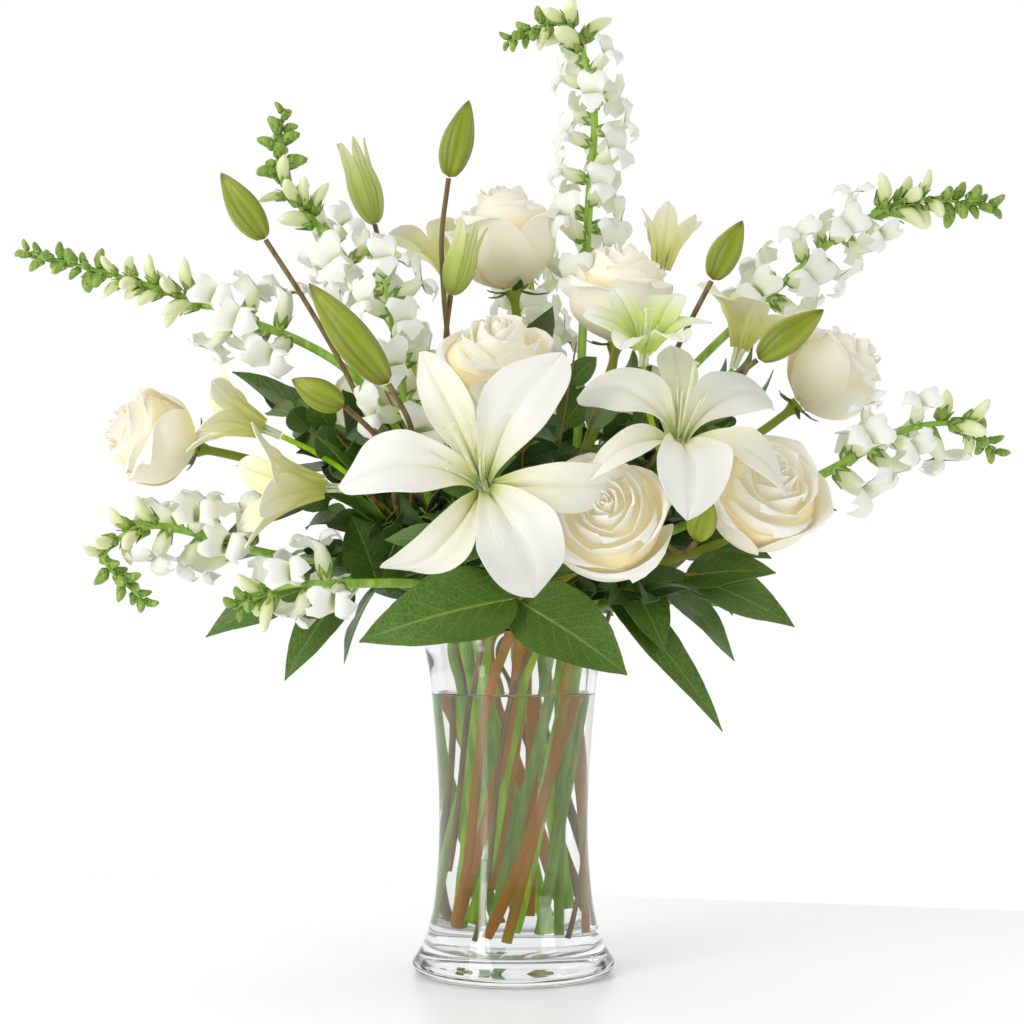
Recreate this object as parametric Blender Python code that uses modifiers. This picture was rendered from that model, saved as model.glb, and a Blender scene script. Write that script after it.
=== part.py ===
"""White lilies, roses and snapdragons with lemon leaf, standing in a waisted glass vase of water.

Metres, +Z up. The origin is the middle of the vase's foot, on the table. The bouquet faces -Y.
Every cut stem runs straight through the vase and leans the same way round its axis, as in a
hand-tied spiral, so that no two stems cross. Above the mouth it bends towards its own head.
"""

import math

import bmesh
import bpy
from mathutils import Quaternion, Vector

# The vase
VASE_HEIGHT = 0.203
RIM_RADIUS = 0.0525
WAIST_RADIUS = 0.0435
WAIST_AT = 0.090  # height of the narrowest place
FOOT_RADIUS = 0.0598
FOOT_ROUND = 0.006  # the foot's rounded lower edge
FOOT_SLOPE = 0.022  # height over which most of the foot's flare dies away
WALL = 0.0034
FLOOR = 0.013  # thickness of the glass under the water
VASE_SIDES = 36
WATER_DEPTH = 0.150
GAP = 0.0003  # between touching pieces

# The bouquet. Places are drawn in millimetres from the middle of the vase's mouth, for a
# bouquet that reaches DRAWN_REACH sideways, and are scaled to REACH.
REACH = 0.290
DRAWN_REACH = 290.0

# Stems
LILY_STEM = 0.0033
ROSE_STEM = 0.0029
SNAPDRAGON_STEM = 0.0026
LEAF_STEM = 0.0016
STALK = 0.0016  # a lily flower's own side stalk
STEM_SIDES = 6
WALL_CLEARANCE = 0.0075  # from the waist's glass to the centres of the outer ring of stems
RIM_CLEARANCE = 0.0052  # and from the rim's glass
RING_SHARE = {"outer": 1.0, "middle": 0.62, "inner": 0.235}  # each ring's radius at the waist
LEAN_SHARE = {"outer": 1.0, "middle": 0.92, "inner": 0.77}  # and how much it leans
HIP = 0.0085  # the swelling of a rose stem under its flower
SEAT_GAP = 0.0008  # between a stalk's end and the flower on it

# Heads and leaves, in drawn millimetres, so that they grow with the bouquet
ROSE_DEPTH = 0.80  # depth of a rose for each millimetre of its width
LILY_PETAL_WIDTH = 0.41  # width of a petal for each millimetre of its length
LILY_BUD_WIDTH = 21.0
FLORET = 30.0  # length of an open snapdragon floret
FLORET_ROWS = 3  # rows of florets between one drawn point of a spike and the next
PETAL_THICK = 1.6
LEAF_THICK = 1.2


BOUQUET = REACH / DRAWN_REACH  # metres for each drawn millimetre


def place(x, y, z):
    """A drawn place, in millimetres from the middle of the mouth, as a point in metres."""
    return Vector((x, y, z)) * BOUQUET + Vector((0, 0, VASE_HEIGHT))


# ---------------------------------------------------------------- outlines


def vase_radius(z):
    """Outside radius of the vase at height z: a waist that flares to the foot and to the rim."""
    foot_flare = (FOOT_RADIUS - WAIST_RADIUS) * math.exp(-max(0.0, z - FOOT_ROUND) / FOOT_SLOPE)
    above = max(0.0, z - WAIST_AT) / (VASE_HEIGHT - WAIST_AT)
    return WAIST_RADIUS + foot_flare + (RIM_RADIUS - WAIST_RADIUS) * above**1.5


def steps(first, last, count):
    """count values from first to last."""
    return [first + (last - first) * i / (count - 1) for i in range(count)]


# ---------------------------------------------------------------- making solids


def clear_scene():
    for obj in list(bpy.data.objects):
        bpy.data.objects.remove(obj)


def collection(name):
    made = bpy.data.collections.new(name)
    bpy.context.scene.collection.children.link(made)
    return made


def material(name, colour, roughness, transmission=0.0):
    made = bpy.data.materials.new(name)
    made.use_nodes = True
    shader = made.node_tree.nodes["Principled BSDF"]
    shader.inputs["Base Color"].default_value = (*colour, 1.0)
    shader.inputs["Roughness"].default_value = roughness
    shader.inputs["Metallic"].default_value = 0.0
    shader.inputs["Transmission Weight"].default_value = transmission
    return made


def add_object(name, mesh, finish, group):
    made = bpy.data.objects.new(name, mesh)
    made.data.materials.append(finish)
    group.objects.link(made)
    return made


def turned(name, profile, finish, group):
    """A solid of revolution from (radius, height) points: up the inside, then down the outside."""
    mesh = bpy.data.meshes.new(name)
    edges = [(i, i + 1) for i in range(len(profile) - 1)]
    mesh.from_pydata([(r, 0.0, z) for r, z in profile], edges, [])
    made = add_object(name, mesh, finish, group)
    screw = made.modifiers.new("turn", "SCREW")
    screw.steps = screw.render_steps = VASE_SIDES
    screw.use_merge_vertices = True
    screw.merge_threshold = 0.00005
    screw.use_normal_calculate = True
    return made


def ring(centre, along, side, half_width, half_depth, count, keel=0.0):
    """Corners of a cross-section, counter-clockwise about along. The first corner is at +side.

    keel pushes the two middle corners of a four-cornered section sideways, which folds it.
    """
    along = along.normalized()
    side = (side - along * side.dot(along)).normalized()
    depth = along.cross(side)
    points = []
    for i in range(count):
        turn = 2 * math.pi * i / count
        across = side * math.cos(turn) * half_width
        points.append(centre + across + depth * (math.sin(turn) * half_depth + keel * abs(math.sin(turn))))
    return points


def set_face(face, points):
    """Moves a face's corners to points, starting at the corner that twists the face least."""
    corners = list(face.verts)
    count = len(corners)
    turns = [sum((corners[(i + k) % count].co - points[i]).length for i in range(count)) for k in range(count)]
    k = turns.index(min(turns))
    for i in range(count):
        corners[(i + k) % count].co = points[i]


def grow(bm, face, sections):
    """Extrudes face through cross-sections. Gives the end face and the side faces of each step."""
    grown = []
    for points in sections:
        face = bmesh.ops.extrude_discrete_faces(bm, faces=[face])["faces"][0]
        grown.append([f for e in face.edges for f in e.link_faces if f is not face])
        set_face(face, points)
    return face, grown


def new_limb(sections):
    """A closed solid through cross-sections, with its side faces step by step."""
    bm = bmesh.new()
    count = len(sections[0])
    bmesh.ops.create_cone(bm, cap_ends=True, segments=count, radius1=1.0, radius2=1.0, depth=2.0)
    bm.faces.ensure_lookup_table()
    bottom = min((f for f in bm.faces if len(f.verts) == count), key=lambda f: f.calc_center_median().z)
    top = max((f for f in bm.faces if len(f.verts) == count), key=lambda f: f.calc_center_median().z)
    pairs = []
    for vert in top.verts:
        below = next(e.other_vert(vert) for e in vert.link_edges if e.other_vert(vert) in bottom.verts)
        pairs.append((vert, below))
    for i, (upper, lower) in enumerate(pairs):
        upper.co = sections[1][i]
        lower.co = sections[0][i]
    sides = [f for f in bm.faces if f not in (top, bottom)]
    end, grown = grow(bm, top, sections[2:])
    return bm, end, [sides, *grown]


def tube_sections(path, radii, count):
    """Round cross-sections along a path, turned as little as possible from one to the next."""
    side = Vector((0.31, 0.95, 0.05))
    sections = []
    for i, point in enumerate(path):
        ahead = path[min(i + 1, len(path) - 1)] - path[max(i - 1, 0)]
        side = (side - ahead.normalized() * side.dot(ahead.normalized())).normalized()
        sections.append(ring(point, ahead, side, radii[i], radii[i], count))
    return sections


def bend(start, leave, end, arrive, count, pull=0.36):
    """A smooth curve from start, leaving along leave, to end, arriving along arrive."""
    reach = (end - start).length * pull
    a = start + leave.normalized() * reach
    b = end - arrive.normalized() * reach
    points = []
    for t in steps(0.0, 1.0, count):
        s = 1 - t
        points.append(start * s**3 + a * 3 * s * s * t + b * 3 * s * t * t + end * t**3)
    return points


def facing_side(faces, direction):
    """Of the faces that nothing has grown from yet, the one that looks most along direction."""
    free = [f for f in faces if f.is_valid]
    for face in free:
        face.normal_update()
    return max(free, key=lambda f: f.normal.dot(direction))


def blade_sections(path, up, widths, thick, fold=0.1):
    """Cross-sections of a leaf or petal along a path: a thin rib with sharp edges.

    up is the way its upper face looks, and fold sinks its middle away from that side.
    """
    sections = []
    last = len(path) - 1
    for i, point in enumerate(path):
        ahead = path[min(i + 1, last)] - path[max(i - 1, 0)]
        half = widths[i] / 2
        sections.append(ring(point, ahead, ahead.cross(up), half, thick / 2, 4, keel=fold * half))
    return sections


def grow_leaf(bm, faces, tip, up, width, droop=0.12):
    """A leaf to tip from the side face that looks towards it."""
    tip = place(*tip)
    up = Vector(up).normalized()
    root = next(f for f in faces if f.is_valid).verts[0].co
    face = facing_side(faces, tip - root)
    start = face.calc_center_median()
    middle = (start + tip) / 2 + up * (tip - start).length * droop
    path = []
    for t in (0.16, 0.42, 0.68, 0.88, 1.0):
        path.append(start * (1 - t) ** 2 + middle * 2 * t * (1 - t) + tip * t * t)
    widths = [width * BOUQUET * share for share in (0.14, 0.90, 1.0, 0.55, 0.06)]
    grow(bm, face, blade_sections(path, up, widths, LEAF_THICK * BOUQUET))


def finish_mesh(name, bm, finish, group):
    bmesh.ops.triangulate(bm, faces=bm.faces[:])
    mesh = bpy.data.meshes.new(name)
    bm.to_mesh(mesh)
    bm.free()
    mesh.shade_smooth()
    mesh.set_sharp_from_angle(angle=math.radians(40))
    return add_object(name, mesh, finish, group)


# ---------------------------------------------------------------- stems in the vase


def ring_shape(name):
    """A ring's radius at the waist, and how far its stems travel sideways for each metre up."""
    waist = WAIST_RADIUS - WALL - WALL_CLEARANCE
    rim = RIM_RADIUS - WALL - RIM_CLEARANCE
    lean = math.sqrt(max(0.0, rim**2 - waist**2)) / (VASE_HEIGHT - WAIST_AT)
    return waist * RING_SHARE[name], lean * LEAN_SHARE[name]


class Stem:
    """One cut stem: where it stands in its ring, and the curve that it follows to its head."""

    def __init__(self, name, ring_name, radius, end, arrive, cut, bearing=None):
        self.name = name
        self.ring = ring_name
        self.radius = radius
        self.end = place(*end)
        self.arrive = Vector(arrive).normalized()
        self.cut = cut / 1000  # height of its cut end over the table
        toward = Vector(bearing) if bearing else self.end
        self.bearing = math.atan2(toward.y, toward.x)
        self.turn = 0.0

    def at(self, z):
        """Where the straight part is at height z."""
        near, lean = ring_shape(self.ring)
        away = lean * (z - WAIST_AT)
        c, s = math.cos(self.turn), math.sin(self.turn)
        return Vector((near * c - away * s, near * s + away * c, z))

    def path(self):
        """Points from the cut end to the head."""
        low = [self.at(z) for z in steps(self.cut, VASE_HEIGHT + 0.004, 3)]
        return low[:-1] + bend(low[-1], low[-1] - low[-2], self.end, self.arrive, 7)

    def limb(self, taper):
        """The stem as a solid that narrows by taper above the vase."""
        path = self.path()
        last = len(path) - 1
        radii = [self.radius * (1 - (1 - taper) * max(0, i - 2) / (last - 2)) for i in range(last + 1)]
        return new_limb(tube_sections(path, radii, STEM_SIDES)), path


def deal_stems(stems):
    """Gives the stems of each ring even places round it, in the order of their heads' bearings."""
    for name in RING_SHARE:
        members = sorted((s for s in stems if s.ring == name), key=lambda s: s.bearing)
        near, lean = ring_shape(name)
        swing = math.atan2(lean * (VASE_HEIGHT - WAIST_AT), near)
        even = [2 * math.pi * i / len(members) for i in range(len(members))]
        offs = [s.bearing - swing * 1.25 - e for s, e in zip(members, even)]
        mean = math.atan2(sum(map(math.sin, offs)), sum(map(math.cos, offs)))
        for stem, e in zip(members, even):
            stem.turn = e + mean


# ---------------------------------------------------------------- the vase and the water


def make_vase(finish, group):
    inside = [(0.0, FLOOR), (vase_radius(FLOOR) - 2.2 * WALL, FLOOR)]
    inside += [(vase_radius(z) - WALL, z) for z in steps(FLOOR + 0.006, VASE_HEIGHT - WALL / 2, 8)]
    lip = RIM_RADIUS - WALL / 2
    rim = [(lip + WALL / 2 * math.cos(a), VASE_HEIGHT - WALL / 2 * (1 - math.sin(a))) for a in steps(2.2, 0.7, 3)]
    outside = [(vase_radius(z), z) for z in steps(VASE_HEIGHT - WALL / 2, 0.030, 7)]
    outside += [(vase_radius(z), z) for z in (0.021, 0.013)]
    centre = FOOT_RADIUS - FOOT_ROUND
    turns = steps(0.0, math.pi / 2, 4)
    foot = [(centre + FOOT_ROUND * math.cos(a), FOOT_ROUND * (1 - math.sin(a))) for a in turns]
    return turned("vase", inside + rim + outside + foot + [(0.0, 0.0)], finish, group)


def make_water(stems, finish, group, helpers):
    """The water: the inside of the vase up to its level, less every stem that stands in it."""
    low = FLOOR + GAP
    level = FLOOR + WATER_DEPTH
    profile = [(0.0, level)]
    profile += [(vase_radius(z) - WALL - 2 * GAP, z) for z in steps(level, FLOOR + 0.007, 7)]
    profile += [(vase_radius(FLOOR) - 2.2 * WALL - 2 * GAP, low), (0.0, low)]
    water = turned("water", profile, finish, group)
    for stem in stems:
        path = [stem.at(z) for z in steps(stem.cut - 2 * GAP, level + 0.010, 3)]
        wide = [stem.radius + 2 * GAP] * len(path)
        bm, _, _ = new_limb(tube_sections(path, wide, STEM_SIDES))
        cutter = finish_mesh("hole_" + stem.name, bm, finish, helpers)
        cutter.hide_render = True
        cutter.display_type = "WIRE"
    cut = water.modifiers.new("stems", "BOOLEAN")
    cut.operation = "DIFFERENCE"
    cut.solver = "EXACT"
    cut.operand_type = "COLLECTION"
    cut.collection = helpers
    return water


# ---------------------------------------------------------------- lilies


def lily_flower(name, seat, facing, length, opening, roll, finish, group):
    """A lily: six petals from one throat. opening is 0 for a tube and 1 for a flat star."""
    axis = Vector(facing).normalized()
    across = axis.cross(Vector((0.02, 0.05, 1.0))).normalized()
    across.rotate(Quaternion(axis, math.radians(roll)))
    start = place(*seat) + axis * SEAT_GAP
    throat = length * 0.26
    sections = []
    for share, radius in ((0.0, 2.6), (0.4, 4.2), (1.0, 6.2)):
        middle = start + axis * throat * share * BOUQUET
        sections.append(ring(middle, axis, across, radius * BOUQUET, radius * BOUQUET, 6))
    bm, _, sides = new_limb(sections)
    for number, face in enumerate(sides[-1]):
        face.normal_update()
        out = (face.normal - axis * face.normal.dot(axis)).normalized()
        inner = number % 2
        path = []
        widths = []
        for t, share in ((0.12, 0.34), (0.36, 0.80), (0.62, 1.0), (0.84, 0.72), (1.0, 0.10)):
            lift = throat * 0.75 + length * 0.74 * t * (1 - 0.75 * opening * t) + 1.6 * inner
            away = 6 + length * (0.12 + 0.76 * opening) * t ** (1.3 - 0.2 * opening)
            path.append(start + (axis * lift + out * away) * BOUQUET)
            width = length * LILY_PETAL_WIDTH * share * (1.0 if inner else 0.8)
            widths.append(min(width, away * 1.08) * BOUQUET)
        grow(bm, face, blade_sections(path, axis, widths, PETAL_THICK * BOUQUET, fold=0.12))
    return finish_mesh(name, bm, finish, group)


def lily_bud(name, seat, tip, finish, group):
    """A closed bud, widest above its middle and pointed."""
    base, end = place(*seat), place(*tip)
    axis = (end - base).normalized()
    base = base + axis * SEAT_GAP
    long = (end - base).length / BOUQUET
    wide = LILY_BUD_WIDTH / 2 * min(1.0, 0.55 + long / 130) * BOUQUET
    shape = ((0.0, 0.24), (0.16, 0.62), (0.42, 0.98), (0.68, 0.92), (0.90, 0.46), (1.0, 0.10))
    sections = []
    for along, size in shape:
        sections.append(ring(base + (end - base) * along, axis, axis.orthogonal(), wide * size, wide * size, 6))
    bm, _, _ = new_limb(sections)
    return finish_mesh(name, bm, finish, group)


def lily_stem(stem, stalks, leaves, finish, group):
    """A lily stem with a stalk to each flower and bud, and its narrow leaves."""
    (bm, end, sides), path = stem.limb(0.8)
    route = bend(stem.end, stem.arrive, place(*stalks[0][0]), Vector(stalks[0][1]), 4)
    grow(bm, end, tube_sections(route[1:], [STALK] * 3, STEM_SIDES))
    for number, (seat, facing) in enumerate(stalks[1:]):
        goal = place(*seat)
        around = sides[-1 - number // 2]
        face = facing_side(around, (goal - stem.end).normalized())
        face.normal_update()
        route = bend(face.calc_center_median(), face.normal + stem.arrive, goal, Vector(facing), 5, 0.30)
        grow(bm, face, tube_sections(route[1:], [STALK] * 4, 4))
    for at, tip, up in leaves:
        grow_leaf(bm, sides[at], tip, up, 15)
    return finish_mesh(stem.name, bm, finish, group)


# ---------------------------------------------------------------- roses


def rose_seat(centre, facing, width):
    """Where a rose head sits on its stem, drawn, from the middle of the flower."""
    return Vector(centre) - Vector(facing).normalized() * (width * ROSE_DEPTH / 2)


def rose_head(name, centre, facing, width, finish, group):
    """A rose: a whorled cup with five outer petals that stand away from it."""
    axis = Vector(facing).normalized()
    start = place(*rose_seat(centre, facing, width)) + axis * SEAT_GAP
    side = axis.orthogonal()
    depth = width * ROSE_DEPTH * BOUQUET
    half = width / 2 * BOUQUET
    outline = ((0.0, 0.10), (0.08, 0.36), (0.32, 0.76), (0.62, 0.88), (0.88, 0.76), (1.0, 0.50))
    sections = []
    for along, share in outline:
        sections.append(ring(start + axis * depth * along, axis, side, half * share, half * share, 10))
    bm, top, sides = new_limb(sections)
    heart = [(0.93, 0.34), (0.97, 0.10)]
    grow(bm, top, [ring(start + axis * depth * a, axis, side, half * r, half * r, 10) for a, r in heart])
    for face in sides[1][::2]:
        face.normal_update()
        out = (face.normal - axis * face.normal.dot(axis)).normalized()
        path = []
        widths = []
        for t, share in ((0.36, 0.66), (0.70, 1.0), (1.0, 0.50)):
            lift = depth * (0.06 + 0.78 * t - 0.12 * t**3)
            path.append(start + axis * lift + out * half * (0.64 + 0.36 * t))
            widths.append(half * 0.80 * share)
        grow(bm, face, blade_sections(path, -out, widths, PETAL_THICK * BOUQUET, fold=0.14))
    return finish_mesh(name, bm, finish, group)


def rose_stem(stem, leaves, finish, group):
    """A rose stem that swells into the hip under the flower, with its leaves."""
    (bm, end, sides), path = stem.limb(0.9)
    sections = []
    for share, size in ((0.3, 3.4), (0.7, 5.2), (1.0, 4.6)):
        across = path[-1] - path[-2] + Vector((0.3, 0.1, 0)) * BOUQUET
        sections.append(ring(stem.end + stem.arrive * HIP * share, stem.arrive, across, size / 1000, size / 1000, 6))
    grow(bm, end, sections)
    for at, tip, up, width in leaves:
        grow_leaf(bm, sides[at], tip, up, width)
    return finish_mesh(stem.name, bm, finish, group)


# ---------------------------------------------------------------- snapdragons


def snapdragon(stem, spike, open_florets, finish, group):
    """A spike: stem, open florets low down and buds towards the tip, all grown together."""
    run = []
    before = stem.end
    for point in (place(*p) for p in spike):
        run += [before.lerp(point, i / FLORET_ROWS) for i in range(FLORET_ROWS)]
        before = point
    run.append(before)
    smooth = [run[0]]
    smooth += [(run[i - 1] + run[i] * 2 + run[i + 1]) / 4 for i in range(1, len(run) - 1)]
    smooth.append(run[-1])
    low = stem.path()
    path = low + smooth[1:]
    first = len(low) - 1
    rows = len(path) - 1 - first
    radii = [stem.radius * (1 - 0.72 * max(0, i - first) / rows) for i in range(len(path))]
    bm, end, sides = new_limb(tube_sections(path, radii, STEM_SIDES))
    for row in range(rows):
        i = first + row
        along = (path[i + 1] - path[i]).normalized()
        across = along.orthogonal().normalized()
        share = row / rows
        is_open = row < open_florets
        size = FLORET * (1.0 - 0.35 * share if is_open else 0.66 - 0.36 * share) * BOUQUET
        for twin in range(2):
            turn = 1.3 * row + twin * math.pi
            out = across * math.cos(turn) + along.cross(across) * math.sin(turn)
            face = facing_side(sides[i], out)
            base = face.calc_center_median()
            aim = (out + along * (0.55 + 0.5 * share)).normalized()
            shape = ((0.24, 0.15), (0.78, 0.34), (1.0, 0.12)) if is_open else ((0.52, 0.25), (1.0, 0.08))
            sections = [ring(base + aim * size * a, aim, aim.cross(along), size * w, size * w, 4) for a, w in shape]
            grow(bm, face, sections)
    return finish_mesh(stem.name, bm, finish, group)


# ---------------------------------------------------------------- lemon leaf


def leaf_spray(stem, leaves, finish, group):
    """A lemon leaf spray: a thin woody stem with broad leaves."""
    (bm, _, sides), _ = stem.limb(0.7)
    for at, tip, up, width in leaves:
        grow_leaf(bm, sides[at], tip, up, width)
    return finish_mesh(stem.name, bm, finish, group)


# ---------------------------------------------------------------- the bouquet

# Lily flowers: seat, the way it faces, petal length, how far it is open, degrees of roll
LILY_FLOWERS = {
    "lily_bloom_1": ((-15, -92, 72), (-0.05, -0.97, 0.22), 82, 1.0, 28),
    "lily_bloom_2": ((88, -82, 90), (0.10, -0.74, 0.66), 72, 0.95, 0),
    "lily_bloom_3": ((71, -79, 143), (0.04, -0.60, 0.80), 52, 0.55, 30),
    "lily_bloom_4": ((-92, -50, 78), (-0.93, -0.34, 0.02), 78, 0.30, 0),
    "lily_bloom_5": ((-134, -22, 110), (-0.90, -0.20, 0.36), 60, 0.22, 0),
    "lily_bloom_6": ((-40, 62, 206), (0.05, 0.25, 0.96), 62, 0.60, 0),
    "lily_bloom_7": ((128, -12, 150), (0.30, -0.15, 0.94), 66, 0.45, 0),
    "lily_bloom_8": ((88, 35, 208), (0.20, 0.10, 0.97), 52, 0.12, 0),
    "lily_bloom_9": ((-12, 100, 112), (-0.10, 0.90, 0.42), 76, 1.0, 0),
}

# Lily buds: seat and tip
LILY_BUDS = {
    "lily_bud_1": ((-143, -25, 223), (-169, -25, 262)),
    "lily_bud_2": ((-67, -95, 131), (-110, -100, 185)),
    "lily_bud_3": ((-90, -104, 118), (-118, -110, 132)),
    "lily_bud_4": ((-84, 28, 243), (-100, 24, 293)),
    "lily_bud_5": ((-38, -10, 262), (-26, -10, 308)),
    "lily_bud_6": ((-36, -32, 190), (-24, -36, 232)),
    "lily_bud_7": ((111, -55, 194), (128, -60, 227)),
    "lily_bud_8": ((134, -75, 147), (170, -80, 174)),
    "lily_bud_9": ((98, -104, 46), (104, -116, 68)),
}

# Lily stems: ring, where it branches and the way it points there, height of its cut end over the
# table, what it carries, and its leaves (row, tip, the way the upper face looks)
LILY_STEMS = {
    "lily_stem_1": (
        "middle", (-76, -24, 68), (-0.60, -0.25, 0.76), 42,
        ("lily_bloom_5", "lily_bloom_4", "lily_bud_1", "lily_bud_2", "lily_bud_3"),
        ((-1, (-112, -60, 108), (0.2, -0.5, 0.8)), (-2, (-120, -20, 80), (0.1, -0.4, 0.9))),
    ),
    "lily_stem_2": (
        "middle", (-18, -50, 62), (-0.1, -0.55, 0.83), 22,
        ("lily_bloom_1",),
        ((-2, (-52, -88, 60), (0.3, -0.4, 0.9)),),
    ),
    "lily_stem_3": (
        "middle", (80, -42, 74), (0.35, -0.35, 0.85), 30,
        ("lily_bloom_3", "lily_bloom_2", "lily_bud_7", "lily_bud_8", "lily_bud_9"),
        ((-2, (128, -40, 92), (-0.3, -0.3, 0.9)),),
    ),
    "lily_stem_4": (
        "inner", (-38, 20, 140), (-0.2, 0.1, 0.97), 20,
        ("lily_bloom_6", "lily_bud_5", "lily_bud_4", "lily_bud_6"),
        ((-1, (-84, 20, 190), (0.6, -0.2, 0.8)), (-2, (-20, 60, 150), (0.1, -0.5, 0.8))),
    ),
    "lily_stem_5": (
        "middle", (92, 14, 112), (0.3, 0.1, 0.95), 26,
        ("lily_bloom_7", "lily_bloom_8"),
        ((-1, (140, 40, 150), (-0.4, -0.2, 0.9)),),
    ),
    "lily_stem_6": (
        "middle", (-14, 66, 84), (-0.05, 0.6, 0.8), 36,
        ("lily_bloom_9",),
        ((-2, (30, 96, 92), (-0.1, -0.4, 0.9)),),
    ),
}

# Roses: ring, middle of the flower, the way it faces, width, height of the cut end, and leaves
# (row, tip, the way the upper face looks, width)
ROSES = {
    "1": ("middle", (-9, -64, 144), (0.05, -0.55, 0.83), 76, 24, ()),
    "2": ("inner", (-5, 15, 232), (-0.15, -0.1, 0.98), 76, 34, ((-2, (24, 44, 196), (-0.3, -0.4, 0.8), 26),)),
    "3": ("inner", (62, -26, 192), (0.1, -0.25, 0.96), 70, 48, ()),
    "4": ("outer", (50, -98, 58), (-0.1, -0.95, 0.3), 78, 30, ()),
    "5": ("outer", (136, -80, 72), (0.25, -0.85, 0.45), 74, 22, ((-2, (128, -36, 22), (0.2, -0.6, 0.7), 24),)),
    "6": ("outer", (-211, -15, 109), (-0.90, -0.40, 0.15), 66, 26, ((-3, (-176, 20, 52), (-0.1, -0.5, 0.8), 30),)),
    "7": ("middle", (189, -5, 148), (0.75, -0.25, 0.6), 68, 22, ((-2, (150, 40, 96), (0.1, -0.3, 0.9), 28),)),
    "8": ("middle", (-80, 70, 140), (-0.5, 0.7, 0.5), 72, 40, ((-2, (-96, 60, 84), (-0.4, 0.5, 0.7), 28),)),
    "9": ("outer", (80, 85, 130), (0.45, 0.75, 0.45), 72, 22, ((-2, (104, 60, 74), (0.4, 0.5, 0.7), 28),)),
}

# Snapdragons: ring, the points of its spike, height of the cut end, rows of open florets
SNAPDRAGONS = {
    "1": ("middle", ((-128, -12, 168), (-186, -12, 191), (-238, -18, 206), (-286, -20, 218)), 60, 3),
    "2": ("inner", ((-84, -7, 196), (-106, -8, 226), (-140, -10, 262), (-134, -10, 303)), 30, 4),
    "3": ("inner", ((46, 22, 262), (50, 20, 318), (34, 20, 368), (-6, 20, 350)), 26, 5),
    "4": ("middle", ((150, 30, 196), (196, 24, 236), (236, 16, 258), (288, 8, 249)), 24, 5),
    "5": ("outer", ((182, -48, 90), (220, -56, 112), (254, -50, 116), (274, -44, 98)), 40, 5),
    "6": ("outer", ((-150, -18, 44), (-206, -52, 60), (-236, -50, 40), (-206, -46, 12)), 22, 3),
    "7": ("middle", ((-60, -44, 118), (-68, -46, 168), (-76, -48, 212)), 22, 9),
    "8": ("outer", ((-92, -70, 24), (-124, -76, 24), (-154, -76, 10)), 22, 4),
    "9": ("middle", ((10, 60, 130), (14, 92, 190), (10, 108, 250)), 22, 6),
}

# Lemon leaf: ring, end of the spray and the way it points, height of the cut end, and leaves
# (row, tip, the way the upper face looks, width)
SPRAYS = {
    "1": ("outer", (4, -70, 16), (0.1, -0.9, -0.1), 60, (
        (-1, (-84, -86, -8), (0.1, -0.8, 0.5), 50),
        (-2, (62, -84, -26), (-0.1, -0.8, 0.5), 48),
        (-3, (-48, -58, 24), (0.3, -0.6, 0.7), 34),
    )),
    "2": ("outer", (104, -46, 30), (0.8, -0.4, 0.1), 22, (
        (-1, (158, -52, 0), (0.1, -0.7, 0.6), 36),
        (-3, (84, -64, -14), (0.1, -0.7, 0.6), 28),
        (-2, (128, -20, -20), (0.3, -0.6, 0.6), 28),
        (-4, (116, -66, -58), (0.2, -0.7, 0.4), 24),
        (-1, (146, -64, 30), (0.1, -0.7, 0.6), 30),
    )),
    "3": ("outer", (-118, -30, 26), (-0.9, -0.1, 0.1), 22, (
        (-1, (-176, -34, -6), (-0.2, -0.7, 0.6), 34),
        (-2, (-128, -58, -30), (-0.1, -0.8, 0.5), 28),
        (-3, (-100, 0, -22), (-0.4, -0.3, 0.8), 28),
        (-3, (-94, -22, 64), (0.3, -0.8, 0.4), 38),
        (-4, (-66, -50, 50), (0.1, -0.8, 0.5), 34),
    )),
    "4": ("outer", (-120, 24, 120), (-0.8, 0.1, 0.6), 30, (
        (-1, (-166, -2, 150), (0.1, -0.6, 0.8), 34),
        (-2, (-150, 44, 88), (-0.3, 0.1, 0.9), 38),
        (-3, (-70, 60, 52), (-0.3, 0.5, 0.8), 38),
        (-2, (-100, -14, 138), (0.3, -0.8, 0.5), 42),
        (-3, (-112, -4, 98), (0.1, -0.7, 0.6), 40),
    )),
    "5": ("outer", (150, 34, 80), (0.9, 0.1, 0.5), 22, (
        (-1, (196, 30, 70), (0.1, -0.5, 0.8), 36),
        (-2, (146, 66, 40), (0.3, 0.3, 0.9), 38),
        (-3, (88, 60, 30), (0.3, 0.5, 0.8), 38),
        (-2, (132, -14, 76), (-0.1, -0.8, 0.5), 36),
        (-3, (152, -2, 40), (0.1, -0.7, 0.6), 38),
    )),
    "6": ("outer", (14, 104, 40), (0.0, 0.9, 0.3), 22, (
        (-1, (20, 160, 24), (0.0, 0.4, 0.9), 44),
        (-2, (-50, 110, 10), (-0.2, 0.6, 0.8), 42),
        (-3, (64, 92, 6), (0.2, 0.6, 0.8), 40),
    )),
}


def bud_facing(name):
    seat, tip = LILY_BUDS[name]
    return Vector(tip) - Vector(seat)


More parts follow.
